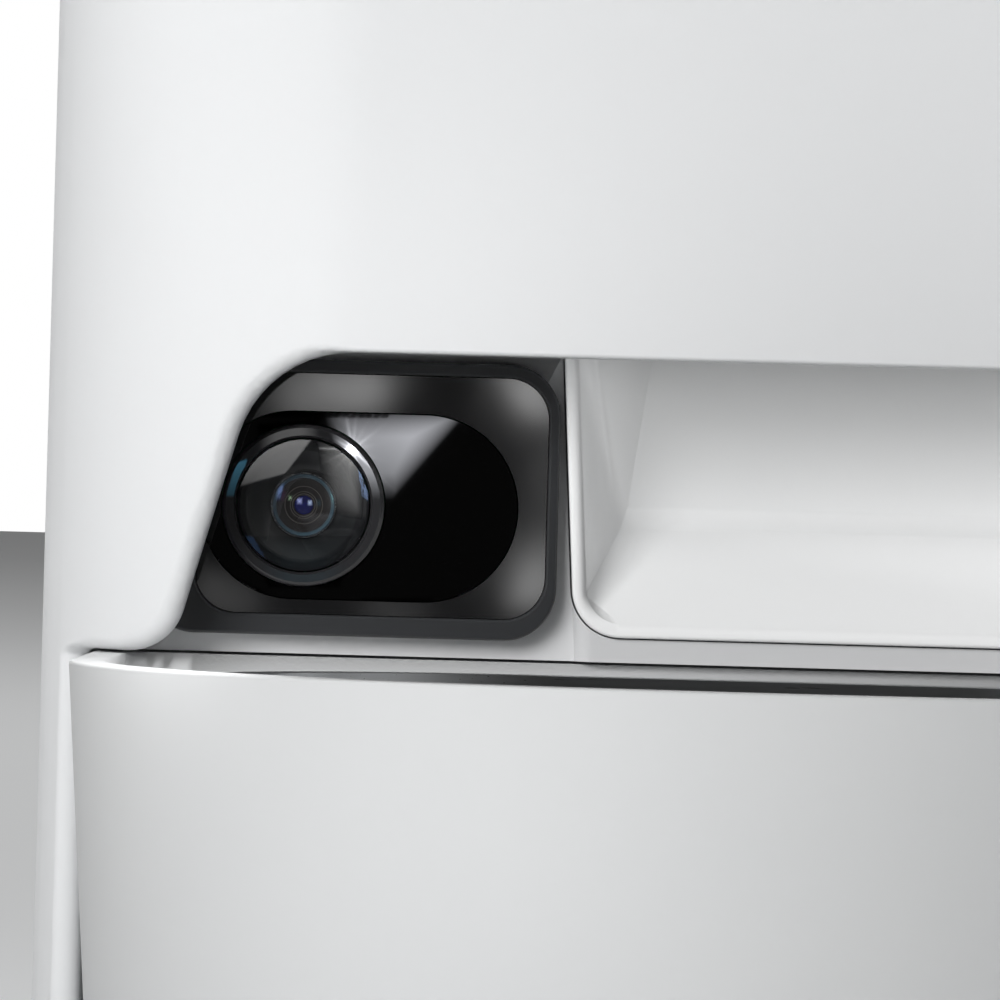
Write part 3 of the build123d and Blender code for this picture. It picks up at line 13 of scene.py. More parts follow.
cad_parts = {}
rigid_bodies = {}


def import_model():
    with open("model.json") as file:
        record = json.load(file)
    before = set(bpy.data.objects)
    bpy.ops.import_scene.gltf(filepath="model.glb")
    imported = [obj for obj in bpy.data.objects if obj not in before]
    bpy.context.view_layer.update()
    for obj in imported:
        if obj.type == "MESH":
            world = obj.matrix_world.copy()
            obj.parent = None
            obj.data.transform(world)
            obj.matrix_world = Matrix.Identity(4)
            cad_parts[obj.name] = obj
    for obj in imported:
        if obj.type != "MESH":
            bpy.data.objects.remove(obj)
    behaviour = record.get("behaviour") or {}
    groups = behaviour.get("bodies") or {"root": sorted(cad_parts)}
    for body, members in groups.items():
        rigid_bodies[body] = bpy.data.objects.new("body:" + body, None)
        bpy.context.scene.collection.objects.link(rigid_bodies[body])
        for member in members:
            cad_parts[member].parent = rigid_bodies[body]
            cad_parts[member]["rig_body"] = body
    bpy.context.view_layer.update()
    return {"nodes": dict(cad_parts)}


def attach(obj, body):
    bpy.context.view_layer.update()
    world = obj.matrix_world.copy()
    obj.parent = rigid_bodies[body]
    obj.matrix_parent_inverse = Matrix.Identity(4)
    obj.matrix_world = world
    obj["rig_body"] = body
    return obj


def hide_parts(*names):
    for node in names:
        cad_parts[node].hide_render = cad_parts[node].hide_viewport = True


LOG = logging.getLogger("feeder")
MM = 0.001

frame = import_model()


class Grain(Enum):
    """How a moulded surface was textured in its mould."""

    POLISHED = "polished"
    SATIN = "satin"
    SPARKED = "sparked"


def linear(code: str) -> tuple[float, float, float, float]:
    """Turns an sRGB hex colour to linear light.

    Args:
        code: Six hex digits after a hash.

    Returns:
        Red, green, blue and full opacity.
    """
    shares = [int(code[i:i + 2], 16) / 255 for i in (1, 3, 5)]
    lit = [s / 12.92 if s <= 0.04045 else ((s + 0.055) / 1.055) ** 2.4 for s in shares]
    return (lit[0], lit[1], lit[2], 1.0)


def add_node(tree: bpy.types.NodeTree, kind: str, settings: dict | None = None,
             inputs: dict | None = None) -> bpy.types.Node:
    """Adds a node with its settings, and sets or links its sockets.

    Args:
        tree: The tree that gets the node.
        kind: The node's type.
        settings: Its properties by name.
        inputs: By socket name or number, a plain value or the output that feeds it.

    Returns:
        The node.
    """
    node = tree.nodes.new(kind)
    for name, value in (settings or {}).items():
        setattr(node, name, value)
    for socket, value in (inputs or {}).items():
        if isinstance(value, bpy.types.NodeSocket):
            tree.links.new(value, node.inputs[socket])
        else:
            node.inputs[socket].default_value = value
    return node


@dataclass(frozen=True)
class Finish:
    """A finish that covers a piece evenly: the base of the others."""

    name: str
    colour: str
    roughness: float = 0.4
    ior: float = 1.5
    metallic: float = 0.0

    def build(self) -> bpy.types.Material:
        """Makes the material, or returns the one made before."""
        made = bpy.data.materials.get(self.name)
        if made:
            return made
        made = bpy.data.materials.new(self.name)
        made.use_nodes = True
        made.diffuse_color = linear(self.colour)
        tree = made.node_tree
        tree.nodes.clear()
        shader = add_node(tree, "ShaderNodeBsdfPrincipled", inputs={
            "Base Color": linear(self.colour), "Roughness": self.roughness,
            "IOR": self.ior, "Metallic": self.metallic,
        })
        self.dress(tree, shader)
        add_node(tree, "ShaderNodeOutputMaterial", inputs={"Surface": shader.outputs[0]})
        return made

    def dress(self, tree: bpy.types.NodeTree, shader: bpy.types.Node) -> None:
        """Adds the finish's patterns to its shader.

        Args:
            tree: The material's tree.
            shader: The shader that takes them.
        """

    def place(self, tree: bpy.types.NodeTree) -> bpy.types.NodeSocket:
        """Returns the place on the piece, in metres."""
        return add_node(tree, "ShaderNodeTexCoord").outputs["Object"]

    def tint(self, tree: bpy.types.NodeTree, pattern: bpy.types.NodeSocket,
             low: str, high: str) -> bpy.types.NodeSocket:
        """Mixes two colours by a pattern.

        Args:
            tree: The material's tree.
            pattern: The share of the second colour.
            low: The first colour, in hex.
            high: The second.

        Returns:
            The mixed colour.
        """
        mix = add_node(tree, "ShaderNodeMix", {"data_type": "RGBA"}, {0: pattern, 6: linear(low), 7: linear(high)})
        return mix.outputs[2]


@dataclass(frozen=True)
class MouldedPlastic(Finish):
    """Injection-moulded ABS: the mould's fine texture and slow changes of tone along the flow of the melt."""

    grain: Grain = Grain.SATIN
    grain_mm: float = 0.35
    grain_depth_mm: float = 0.004
    flow_mm: float = 60.0
    shade: str = "#FFFFFF"

    def dress(self, tree: bpy.types.NodeTree, shader: bpy.types.Node) -> None:
        """Adds the mould's texture and the tone of the flow."""
        place = self.place(tree)
        flow = add_node(tree, "ShaderNodeTexNoise", inputs={
            "Vector": place, "Scale": 1 / (self.flow_mm * MM), "Detail": 2.0})
        tree.links.new(self.tint(tree, flow.outputs["Fac"], self.colour, self.shade), shader.inputs["Base Color"])
        spread = {Grain.POLISHED: 0.02, Grain.SATIN: 0.05, Grain.SPARKED: 0.08}[self.grain]
        sheen = add_node(tree, "ShaderNodeMapRange", inputs={
            "Value": flow.outputs["Fac"], "To Min": self.roughness - spread, "To Max": self.roughness + spread})
        tree.links.new(sheen.outputs[0], shader.inputs["Roughness"])
        if self.grain is Grain.POLISHED:
            return
        texture = add_node(tree, "ShaderNodeTexNoise", inputs={
            "Vector": place, "Scale": 1 / (self.grain_mm * MM), "Detail": 1.0})
        bump = add_node(tree, "ShaderNodeBump", inputs={
            "Height": texture.outputs["Fac"], "Distance": self.grain_depth_mm * MM, "Strength": 1.0})
        tree.links.new(bump.outputs[0], shader.inputs["Normal"])


@dataclass(frozen=True)
class BrushedMetal(Finish):
    """Sheet metal with brushed lines along one axis, coarser than real ones so that they show."""

    metallic: float = 1.0
    line_mm: float = 0.25
    line_length_mm: float = 18.0
    axis: int = 0
    depth_mm: float = 0.002

    def dress(self, tree: bpy.types.NodeTree, shader: bpy.types.Node) -> None:
        """Adds the brushed lines to the colour, the roughness and the relief."""
        stretch = [1 / (self.line_mm * MM)] * 3
        stretch[self.axis] = 1 / (self.line_length_mm * MM)
        lines = add_node(tree, "ShaderNodeMapping", inputs={"Vector": self.place(tree), "Scale": tuple(stretch)})
        noise = add_node(tree, "ShaderNodeTexNoise", inputs={
            "Vector": lines.outputs[0], "Scale": 1.0, "Detail": 3.0})
        rough = add_node(tree, "ShaderNodeMapRange", inputs={
            "Value": noise.outputs["Fac"], "To Min": self.roughness * 0.7, "To Max": self.roughness * 1.4})
        tree.links.new(rough.outputs[0], shader.inputs["Roughness"])
        bump = add_node(tree, "ShaderNodeBump", inputs={
            "Height": noise.outputs["Fac"], "Distance": self.depth_mm * MM, "Strength": 0.6})
        tree.links.new(bump.outputs[0], shader.inputs["Normal"])


@dataclass(frozen=True)
class ClearGlass(Finish):
    """Polished glass or clear acrylic that light goes through."""

    roughness: float = 0.0

    def dress(self, tree: bpy.types.NodeTree, shader: bpy.types.Node) -> None:
        """Makes the shader let light through."""
        shader.inputs["Transmission Weight"].default_value = 1.0


@dataclass(frozen=True)
class DeepGloss(Finish):
    """One deep colour under a gloss that handling has smeared a little: dark glass, acrylic, lacquer or anodising."""

    roughness: float = 0.03
    smear_mm: float = 14.0

    def dress(self, tree: bpy.types.NodeTree, shader: bpy.types.Node) -> None:
        """Adds faint smears in the gloss."""
        smear = add_node(tree, "ShaderNodeTexNoise", inputs={
            "Vector": self.place(tree), "Scale": 1 / (self.smear_mm * MM), "Detail": 2.0})
        gloss = add_node(tree, "ShaderNodeMapRange", inputs={
            "Value": smear.outputs["Fac"], "To Min": self.roughness * 0.6, "To Max": self.roughness * 1.6})
        tree.links.new(gloss.outputs[0], shader.inputs["Roughness"])


@dataclass(frozen=True)
class Rubber(Finish):
    """Moulded rubber or silicone: matt, with a fine skin."""

    roughness: float = 0.75
    skin_mm: float = 0.6

    def dress(self, tree: bpy.types.NodeTree, shader: bpy.types.Node) -> None:
        """Adds the skin's relief."""
        skin = add_node(tree, "ShaderNodeTexNoise", inputs={
            "Vector": self.place(tree), "Scale": 1 / (self.skin_mm * MM), "Detail": 2.0})
        bump = add_node(tree, "ShaderNodeBump", inputs={
            "Height": skin.outputs["Fac"], "Distance": 0.01 * MM, "Strength": 1.0})
        tree.links.new(bump.outputs[0], shader.inputs["Normal"])


@dataclass(frozen=True)
class CircuitBoard(Finish):
    """Fibreglass board under solder mask, with its copper tracks showing a little lighter."""

    track: str = "#2F6B49"
    track_mm: float = 2.2

    def dress(self, tree: bpy.types.NodeTree, shader: bpy.types.Node) -> None:
        """Adds the tracks."""
        tracks = add_node(tree, "ShaderNodeTexVoronoi", {"feature": "DISTANCE_TO_EDGE", "distance": "EUCLIDEAN"}, {
            "Vector": self.place(tree), "Scale": 1 / (self.track_mm * MM)})
        edge = add_node(tree, "ShaderNodeMapRange", inputs={
            "Value": tracks.outputs["Distance"], "From Min": 0.06, "From Max": 0.1, "To Min": 1.0, "To Max": 0.0})
        tree.links.new(self.tint(tree, edge.outputs[0], self.colour, self.track), shader.inputs["Base Color"])


# White ABS of the body: a satin mould texture that gives a soft, even sheen
SHELL = MouldedPlastic("moulded_white_abs", "#E9EAEB", 0.42, shade="#EDEEEF")
# The same ABS inside the niche, duller, so that the recess stays calm in its shade, and a touch darker: painted shade
# of the recess
SHADED_LINER = MouldedPlastic("white_abs_liner_with_painted_shade", "#E4E5E6", 0.5, shade="#E8E8E9")
# Polished ABS where the food slides: smoother than the body, and brighter as painted light that lifts the chute's
# shaded inside
BRIGHTENED_CHUTE = MouldedPlastic("polished_white_abs_painted_light", "#F4F5F5", 0.3, grain=Grain.POLISHED, shade="#F7F7F7")
# The tray's white ABS, greyer than the body's: painted shade that darkens the tray below the body
SHADED_TRAY = MouldedPlastic("white_abs_tray_with_painted_shade", "#C6C7C8", 0.42, shade="#CBCCCC")
# Grey ABS of the inner frames, spark-eroded, so that it looks plain and technical
MECHANISM = MouldedPlastic("moulded_grey_abs", "#C4C7C9", 0.45, grain=Grain.SPARKED, shade="#CCCECF")
# Smoke-grey polycarbonate: smooth, cool and darker than the body round it
HOPPER = MouldedPlastic("moulded_smoke_polycarbonate", "#9EA3A8", 0.25, ior=1.58, shade="#A8ACB0")
# Natural nylon of the gears, warm and cream-coloured beside the grey
NYLON = MouldedPlastic("moulded_nylon", "#E0DBCC", 0.5, ior=1.53, shade="#E6E2D6")
# Black ABS of the camera's rim: satin, so that it only catches a soft light
BEZEL = MouldedPlastic("satin_black_abs", "#3A3B3D", 0.3, grain_mm=0.3, grain_depth_mm=0.002, shade="#3E3F41")
# Black paper of the speaker's cone, which swallows the light behind its holes
SPEAKER = MouldedPlastic("black_paper_cone", "#1A1A1B", 0.8, grain=Grain.SPARKED, shade="#202021")
# Black acrylic of the camera's panel: it carries the soft light streaks
PANEL = DeepGloss("polished_black_acrylic", "#1A1A1B", 0.05, ior=1.49)
# Glass printed black behind: the deepest black, with a clear cut reflection
WINDOW = DeepGloss("black_printed_glass", "#030303", 0.01, ior=1.5)
# Polished black anodising of the lens's ring, which draws a fine bright edge round the dome
LENS_METAL = DeepGloss("polished_black_aluminium", "#323234", 0.0, ior=1.6)
# Dull black lacquer inside the funnel, so that only the lens in its middle shines
FUNNEL = DeepGloss("black_lacquered_funnel", "#1A1B1D", 0.55, ior=1.4)
# Satin black of the stepped cell, a little warm, so that its steps can be told apart
LENS_CELL = DeepGloss("satin_black_lens_cell", "#322E2C", 0.45, ior=1.5)
# Lighter grey edges of the cell's steps, seen as thin grey rings
LENS_RIB = DeepGloss("light_grey_edge_of_the_lens_cell", "#6E6962", 0.5, ior=1.5)
# Bevel of the front lens, its blue-green colour a painted reflection, seen as a blue-green ring
TEAL_REFLECTION_BEVEL = DeepGloss("bevel_with_painted_teal_reflection", "#435A64", 0.35, ior=1.6)
# Clear dome, which shows by its reflections alone
DOME = ClearGlass("coated_dome_glass", "#FFFFFF", 0.0, ior=1.5)
# Front lens, with a faint cool tone from its coatings
ELEMENT = ClearGlass("multicoated_lens_glass", "#F4F8FF", 0.0, ior=1.5)
# Inner lens, whose violet-blue coating is the colour at the middle of the eye
PUPIL = DeepGloss("coated_inner_lens", "#23255E", 0.05, ior=1.6)
# Turned chrome of the thin ring, which catches the light all round
CHROME = BrushedMetal("turned_chrome_trim", "#B0B2B4", 0.25, line_mm=0.1, line_length_mm=2.0)
# Brushed stainless steel of the bowl, with soft long reflections
STEEL = BrushedMetal("brushed_stainless_steel", "#B4B6B8", 0.3)
# Ground steel of shafts and screws, brighter than the plated parts
SHAFT = BrushedMetal("ground_steel", "#B9BBBD", 0.25)
# Zinc-plated steel of the motor's can, dull and grey
MOTOR = BrushedMetal("zinc_plated_steel", "#97999B", 0.4)
# Nickel-plated springs and socket, with a slightly warm shine
CONTACT = BrushedMetal("nickel_plated_spring_steel", "#C9C6BE", 0.22)
# Pale silicone of the seal and the vanes, soft and almost matt
SILICONE = Rubber("moulded_silicone", "#D8D9D6", 0.6, ior=1.43)
# Black rubber of the feet and the gasket, without any shine
RUBBER = Rubber("moulded_black_rubber", "#262627", 0.8)
# Green solder mask over copper tracks, the only strong colour inside
BOARD = CircuitBoard("solder_masked_board", "#1F4A33", 0.35)
# Dark glass of the sensors, smooth and nearly black
SENSOR = DeepGloss("sensor_glass", "#101319", 0.08, ior=1.52)
# Frosted diffuser round the feed button, a cool pale ring
LIGHT_RING = MouldedPlastic("frosted_diffuser", "#D4E2EA", 0.4, shade="#DCE8EE")
# Clear epoxy of the infrared lamps, like small drops of glass
LED = ClearGlass("clear_epoxy", "#E6E8F0", 0.05, ior=1.52)


@dataclass
class FeederFrame:
    """The CAD nodes that show as they are, or as a smoothed copy, and their finishes."""

    crease_deg: float = 28.0
    merge_mm: float = 0.002
    # Upper edge of the niche, whose round tightens from the shoulders to the middle
    brow_z_mm: float = 100.3
    brow_y_mm: float = -45.0
    brow_round_mm: float = 2.0
    brow_share: float = 0.3
    brow_from_mm: float = 52.0
    brow_to_mm: float = 61.0
    brow_margin_mm: float = 0.1
    # Centres of the arcs of the tray's plan: that of its front, and that of its left corner mirrored to the right
    tray_front_mm: tuple[float, float] = (0.0, -15.0)
    tray_corner_mm: tuple[float, float] = (15.0, -71.03)
    # How far a face of that wall may lean, and how well its normal has to match the plan
    wall_slope: float = 0.15
    wall_match: float = 0.8
    kept: dict[str, Finish] = field(default_factory=lambda: {
        "chute_sensor": SENSOR, "camera_gasket": RUBBER, "lens_barrel": LENS_METAL, "lens_mount": MECHANISM,
        "image_sensor": SENSOR, "camera_board": BOARD, "camera_housing": MECHANISM, "ir_leds": LED,
        "rotor_housing": MECHANISM, "rotor_hub": MECHANISM, "rotor_vanes": SILICONE, "stirrer": SILICONE,
        "rotor_shaft": SHAFT, "rotor_gear": NYLON, "drive_gear": NYLON, "drive_shaft": SHAFT,
        "gear_motor": MOTOR, "button_board": BOARD, "base_screws": SHAFT, "battery_contacts": CONTACT,
        "main_board": BOARD, "power_inlet": CONTACT, "speaker": SPEAKER, "tray_bay": MECHANISM,
        "battery_bay": MECHANISM, "hinge_pin": SHAFT,
    })
    smoothed: dict[str, Finish] = field(default_factory=lambda: {
        "outer_shell": SHELL, "niche_liner": SHADED_LINER, "chute": BRIGHTENED_CHUTE, "camera_bezel": BEZEL,
        "camera_face": PANEL, "camera_window": WINDOW, "lens_ring": LENS_METAL, "lens_dome": DOME,
        "hopper": HOPPER, "lid": SHELL, "lid_lock": SHELL, "lid_inner": MECHANISM, "lid_seal": SILICONE,
        "desiccant_holder": MECHANISM, "feed_button": SHELL,
        "indicator_ring": LIGHT_RING, "tray": SHADED_TRAY, "steel_bowl": STEEL, "battery_door": SHELL,
        "reset_button": SPEAKER, "base_pan": MECHANISM, "inlet_plate": SHELL,
        "tray_pad_front_left": RUBBER, "tray_pad_front_right": RUBBER, "tray_pad_rear_left": RUBBER,
        "tray_pad_rear_right": RUBBER, "foot_rear_left": RUBBER, "foot_rear_right": RUBBER,
        "foot_front_left": RUBBER, "foot_front_right": RUBBER,
    })

    def dress(self) -> None:
        """Gives each node its finish, and each curved one a smoothed copy."""
        for name, finish in self.kept.items():
            self.paint(frame["nodes"][name], finish)
        for name, finish in self.smoothed.items():
            piece = self.smooth_copy(name)
            self.paint(piece, finish)
            LOG.info("smoothed %s, %d faces", name, len(piece.data.polygons))

    def paint(self, piece: bpy.types.Object, finish: Finish) -> None:
        """Gives a piece one finish.

        Args:
            piece: The piece.
            finish: Its finish.
        """
        piece.data.materials.clear()
        piece.data.materials.append(finish.build())

    def smooth_copy(self, name: str) -> bpy.types.Object:
        """Copies a node, joins its loose triangles and smooths them up to its creases.

        Args:
            name: The node's name.

        Returns:
            The copy, which rides on the node's body and stands for it.
        """
        node = frame["nodes"][name]
        form = bmesh.new()
        form.from_mesh(node.data)
        bmesh.ops.remove_doubles(form, verts=form.verts, dist=self.merge_mm * MM)
        bmesh.ops.dissolve_degenerate(form, edges=form.edges, dist=self.merge_mm * MM / 2)
        if name == "outer_shell":
            self.tighten_brow(form)
        mesh = bpy.data.meshes.new(name + "_skin")
        form.to_mesh(mesh)
        form.free()
        mesh.shade_smooth()
        mesh.set_sharp_from_angle(angle=math.radians(self.crease_deg))
        piece = bpy.data.objects.new(name + "_skin", mesh)
        piece.modifiers.new("even_normals", "WEIGHTED_NORMAL").keep_sharp = True
        bpy.context.scene.collection.objects.link(piece)
        if name == "tray":
            self.true_walls(piece)
            # The dark glass beside it then stays as dark as in the photograph
            piece.visible_glossy = piece.visible_transmission = False
        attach(piece, node["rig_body"])
        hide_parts(name)
        return piece

    def tray_facing(self, place: Vector) -> Vector:
        """Returns the way that the tray's outer wall faces at a place, square to its plan."""
        side = math.copysign(1.0, place.x)
        front, corner = Vector(self.tray_front_mm), Vector(self.tray_corner_mm)
        flat = Vector((abs(place.x), place.y)) / MM
        if flat.y > corner.y:
            return Vector((side, 0, 0))
        slant = corner.x / (front.y - corner.y)
        centre = front if flat.x <= slant * (front.y - flat.y) else corner
        facing = (flat - centre).normalized()
        return Vector((side * facing.x, facing.y, 0))

    def true_walls(self, piece: bpy.types.Object) -> None:
        """Sets the normals of the tray's outer wall square to its plan, so that it shades as one smooth face."""
        mesh = piece.data
        shaded = piece.evaluated_get(bpy.context.evaluated_depsgraph_get()).data
        normals = [corner.vector.copy() for corner in shaded.corner_normals]
        wall = {}
        for face in mesh.polygons:
            facing = self.tray_facing(face.center)
            if abs(face.normal.z) > self.wall_slope or face.normal.dot(facing) < self.wall_match:
                continue
            for corner in face.loop_indices:
                vert = mesh.loops[corner].vertex_index
                level = self.tray_facing(mesh.vertices[vert].co) * math.sqrt(1 - face.normal.z ** 2)
                wall[vert] = normals[corner] = level + Vector((0, 0, face.normal.z))
        for loop in mesh.loops:
            true = wall.get(loop.vertex_index)
            if true and normals[loop.index].dot(true) > self.wall_match:
                normals[loop.index] = true
        piece.modifiers.clear()
        mesh.normals_split_custom_set(normals)

    def tighten_brow(self, form: bmesh.types.BMesh) -> None:
        """Draws the round of the niche's upper edge in towards its corner line, most in the middle."""
        for vert in form.verts:
            up, back = vert.co.z / MM - self.brow_z_mm, vert.co.y / MM - self.brow_y_mm
            if not all(-self.brow_margin_mm < way < self.brow_round_mm + self.brow_margin_mm for way in (up, back)):
                continue
            blend = (abs(vert.co.x / MM) - self.brow_from_mm) / (self.brow_to_mm - self.brow_from_mm)
            blend = min(max(blend, 0.0), 1.0)
            share = self.brow_share + (1 - self.brow_share) * blend * blend * (3 - 2 * blend)
            vert.co.z = (self.brow_z_mm + up * share) * MM
            vert.co.y = (self.brow_y_mm + back * share) * MM


@dataclass
class Lens:
    """The turned pieces behind the dome: funnel, bright ring, front element, stepped cell and inner lens."""

    x_mm: float = -59.4
    z_mm: float = 80.2
    steps: int = 96
    bulge_steps: int = 12
    crease_deg: float = 35.0

    def build(self) -> None:
        """Makes the pieces and puts them on the feeder."""
        self.turn("lens_funnel", FUNNEL, "lens_black", [
            (8.72, -23.3), (7.4, -23.28), (5.4, -22.85), (4.4, -22.45), (4.3, -22.2), (4.36, -21.9), (8.72, -22.6),
        ], "lens_hood", round_mm=0.35)
        self.turn("lens_bright_ring", CHROME, "trim_bright", [
            (4.26, -22.7), (4.24, -22.8), (4.14, -22.8), (4.1, -22.66), (4.1, -22.0), (4.26, -22.0),
        ], "lens_trim_ring", round_mm=0.03)
        self.turn("lens_cell", LENS_CELL, "lens_black", [
            (4.08, -21.9), (3.9, -21.9), (3.3, -21.5), (2.5, -21.25), (2.3, -21.25),
            (2.1, -21.08), (1.9, -21.05), (1.72, -21.05), (1.62, -20.95), (1.46, -20.9),
            (1.38, -20.95), (1.3, -20.9), (1.22, -20.8), (1.22, -20.3), (4.08, -20.3),
        ], None, round_mm=0.05)
        # The bevel's blue-green ring is a painted reflection
        self.turn("lens_bevel_painted_reflection", TEAL_REFLECTION_BEVEL, "lens_coated", [
            (3.98, -22.02), (3.9, -22.06), (3.56, -21.86), (3.54, -21.6), (3.98, -21.7),
        ], None, round_mm=0.03)
        for name, radius, front in (("outer", 2.44, -21.36), ("middle", 1.74, -21.16), ("inner", 1.46, -21.02)):
            self.turn(f"lens_rib_{name}", LENS_RIB, "lens_black", [
                (radius + 0.05, front + 0.04), (radius, front), (radius - 0.05, front + 0.04),
                (radius - 0.05, front + 0.2), (radius + 0.05, front + 0.2),
            ], None, round_mm=0.02)
        self.bulge("lens_element", ELEMENT, "lens_coated", 4.04, -22.35, 0.75, 0.3, "lens_glass")
        self.bulge("lens_pupil", PUPIL, "lens_coated", 1.24, -20.72, 0.42, 0.3, None)
        for name in ("lens_element", "lens_dome_skin"):
            glass = bpy.data.objects[name]
            glass.visible_shadow = glass.visible_diffuse = False

    def turn(self, name: str, finish: Finish, slot: str, points: list[tuple[float, float]],
             node: str | None, round_mm: float) -> None:
        """Turns a closed profile about the lens's axis.

        Args:
            name: The piece's name.
            finish: Its finish.
            slot: The record's material slot.
            points: The profile's corners as radius and depth, in millimetres.
            node: The node that the piece stands for, if any.
            round_mm: How far the corners are rounded.
        """
        form = bmesh.new()
        corners = [form.verts.new(((self.x_mm + r) * MM, y * MM, self.z_mm * MM)) for r, y in points]
        for first, second in zip(corners, corners[1:] + corners[:1]):
            form.edges.new((first, second))
        bmesh.ops.bevel(form, geom=form.verts[:], offset=round_mm * MM, offset_type="OFFSET", segments=3,
                        profile=0.5, affect="VERTICES", material=-1, clamp_overlap=True)
        self.spin(form)
        self.finish(form, name, finish, slot, node)

    def bulge(self, name: str, finish: Finish, slot: str, radius_mm: float, edge_mm: float,
              rise_mm: float, thickness_mm: float, node: str | None) -> None:
        """Turns a thin curved glass, bulging to the front.

        Args:
            name: The piece's name.
            finish: Its finish.
            slot: The record's material slot.
            radius_mm: Its radius at the edge.
            edge_mm: The depth of its edge.
            rise_mm: How far its middle stands in front of its edge.
            thickness_mm: The glass's thickness.
            node: The node that the piece stands for, if any.
        """
        ball = (radius_mm ** 2 + rise_mm ** 2) / (2 * rise_mm)
        centre = Vector((self.x_mm, edge_mm - rise_mm + ball, self.z_mm)) * MM
        form = bmesh.new()
        apex = form.verts.new(centre - Vector((0, ball * MM, 0)))
        bmesh.ops.spin(form, geom=[apex], cent=centre, axis=(0, 0, 1), angle=math.asin(radius_mm / ball),
                       steps=self.bulge_steps, use_merge=False)
        self.spin(form)
        bmesh.ops.solidify(form, geom=form.faces[:], thickness=thickness_mm * MM)
        self.finish(form, name, finish, slot, node)

    def spin(self, form: bmesh.types.BMesh) -> None:
        """Turns a profile fully about the lens's axis and points its faces outwards."""
        bmesh.ops.spin(form, geom=form.verts[:] + form.edges[:], cent=(self.x_mm * MM, 0, self.z_mm * MM),
                       axis=(0, 1, 0), angle=math.tau, steps=self.steps, use_merge=True)
        bmesh.ops.remove_doubles(form, verts=form.verts, dist=0.0005 * MM)
        bmesh.ops.recalc_face_normals(form, faces=form.faces)

    def finish(self, form: bmesh.types.BMesh, name: str, finish: Finish, slot: str, node: str | None) -> None:
        """Makes the form a smooth piece that rides on the feeder.

        Args:
            form: The form, which is freed.
            name: The piece's name.
            finish: Its finish.
            slot: Not used.
            node: The node that the piece stands for, if any.
        """
        mesh = bpy.data.meshes.new(name)
        form.to_mesh(mesh)
        form.free()
        mesh.shade_smooth()
        mesh.set_sharp_from_angle(angle=math.radians(self.crease_deg))
        mesh.materials.append(finish.build())
        piece = bpy.data.objects.new(name, mesh)
        bpy.context.scene.collection.objects.link(piece)
        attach(piece, "feeder")
        if node:
            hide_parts(node)
        LOG.info("turned %s, %d faces", name, len(mesh.polygons))


class Mirror(Enum):
    """Glossy pieces that mirror a card.

    Each has the depth of its flat or of its ball's centre, the ball's radius and how far off its cards hang.
    """

    FACE = (("camera_face_skin",), -23.6, 0.0, 1400.0)
    WINDOW = (("camera_window_skin", "lens_ring_skin"), -23.6, 0.0, 1400.0)
    RING = (("lens_ring_skin",), -24.4, 0.0, 1380.0)
    DOME = (("lens_dome_skin",), -12.97, 14.0, 0.4)
    ELEMENT = (("lens_element",), -11.84, 11.25, 0.25)
    PUPIL = (("lens_pupil",), -19.3, 1.84, 0.12)


@dataclass(frozen=True)
class Card:
    """A soft light card of the studio, laid where one glossy surface mirrors it at a place in the photograph."""

    name: str
    mirror: Mirror
    # Corners in pixels of the photograph: upper left, upper right, lower right, lower left
    corners: tuple[tuple[float, float], ...]
    # Strength at each corner
    glow: tuple[float, float, float, float]
    colour: str = "#FFFFFF"
    # Share of its breadth over which the glow fades at each border
    soft: float = 0.25
    # Share of the glint that it also carries
    glint: float = 0.0


# Where the glint on the lens's ring sits, in pixels of the photograph
GLINT = (352.5, 449.5)
# Strength and radius in pixels of its core and of its halo, and what the rays gain and how wide they are
GLINT_CORE = (110, 3.6)
GLINT_HALO = (14, 8)
RAY_GAIN = 2.2
RAY_WIDTH = 1.1
# Its rays: angle in degrees, length in pixels and strength
RAYS = (
    (12, 7, 8), (38, 9, 14), (62, 7, 9), (84, 9, 14), (101, 12, 16), (124, 8, 9), (150, 8, 10), (178, 18, 12),
    (205, 9, 8), (228, 7, 9), (262, 8, 8), (291, 9, 12), (316, 13, 16), (340, 8, 9),
)

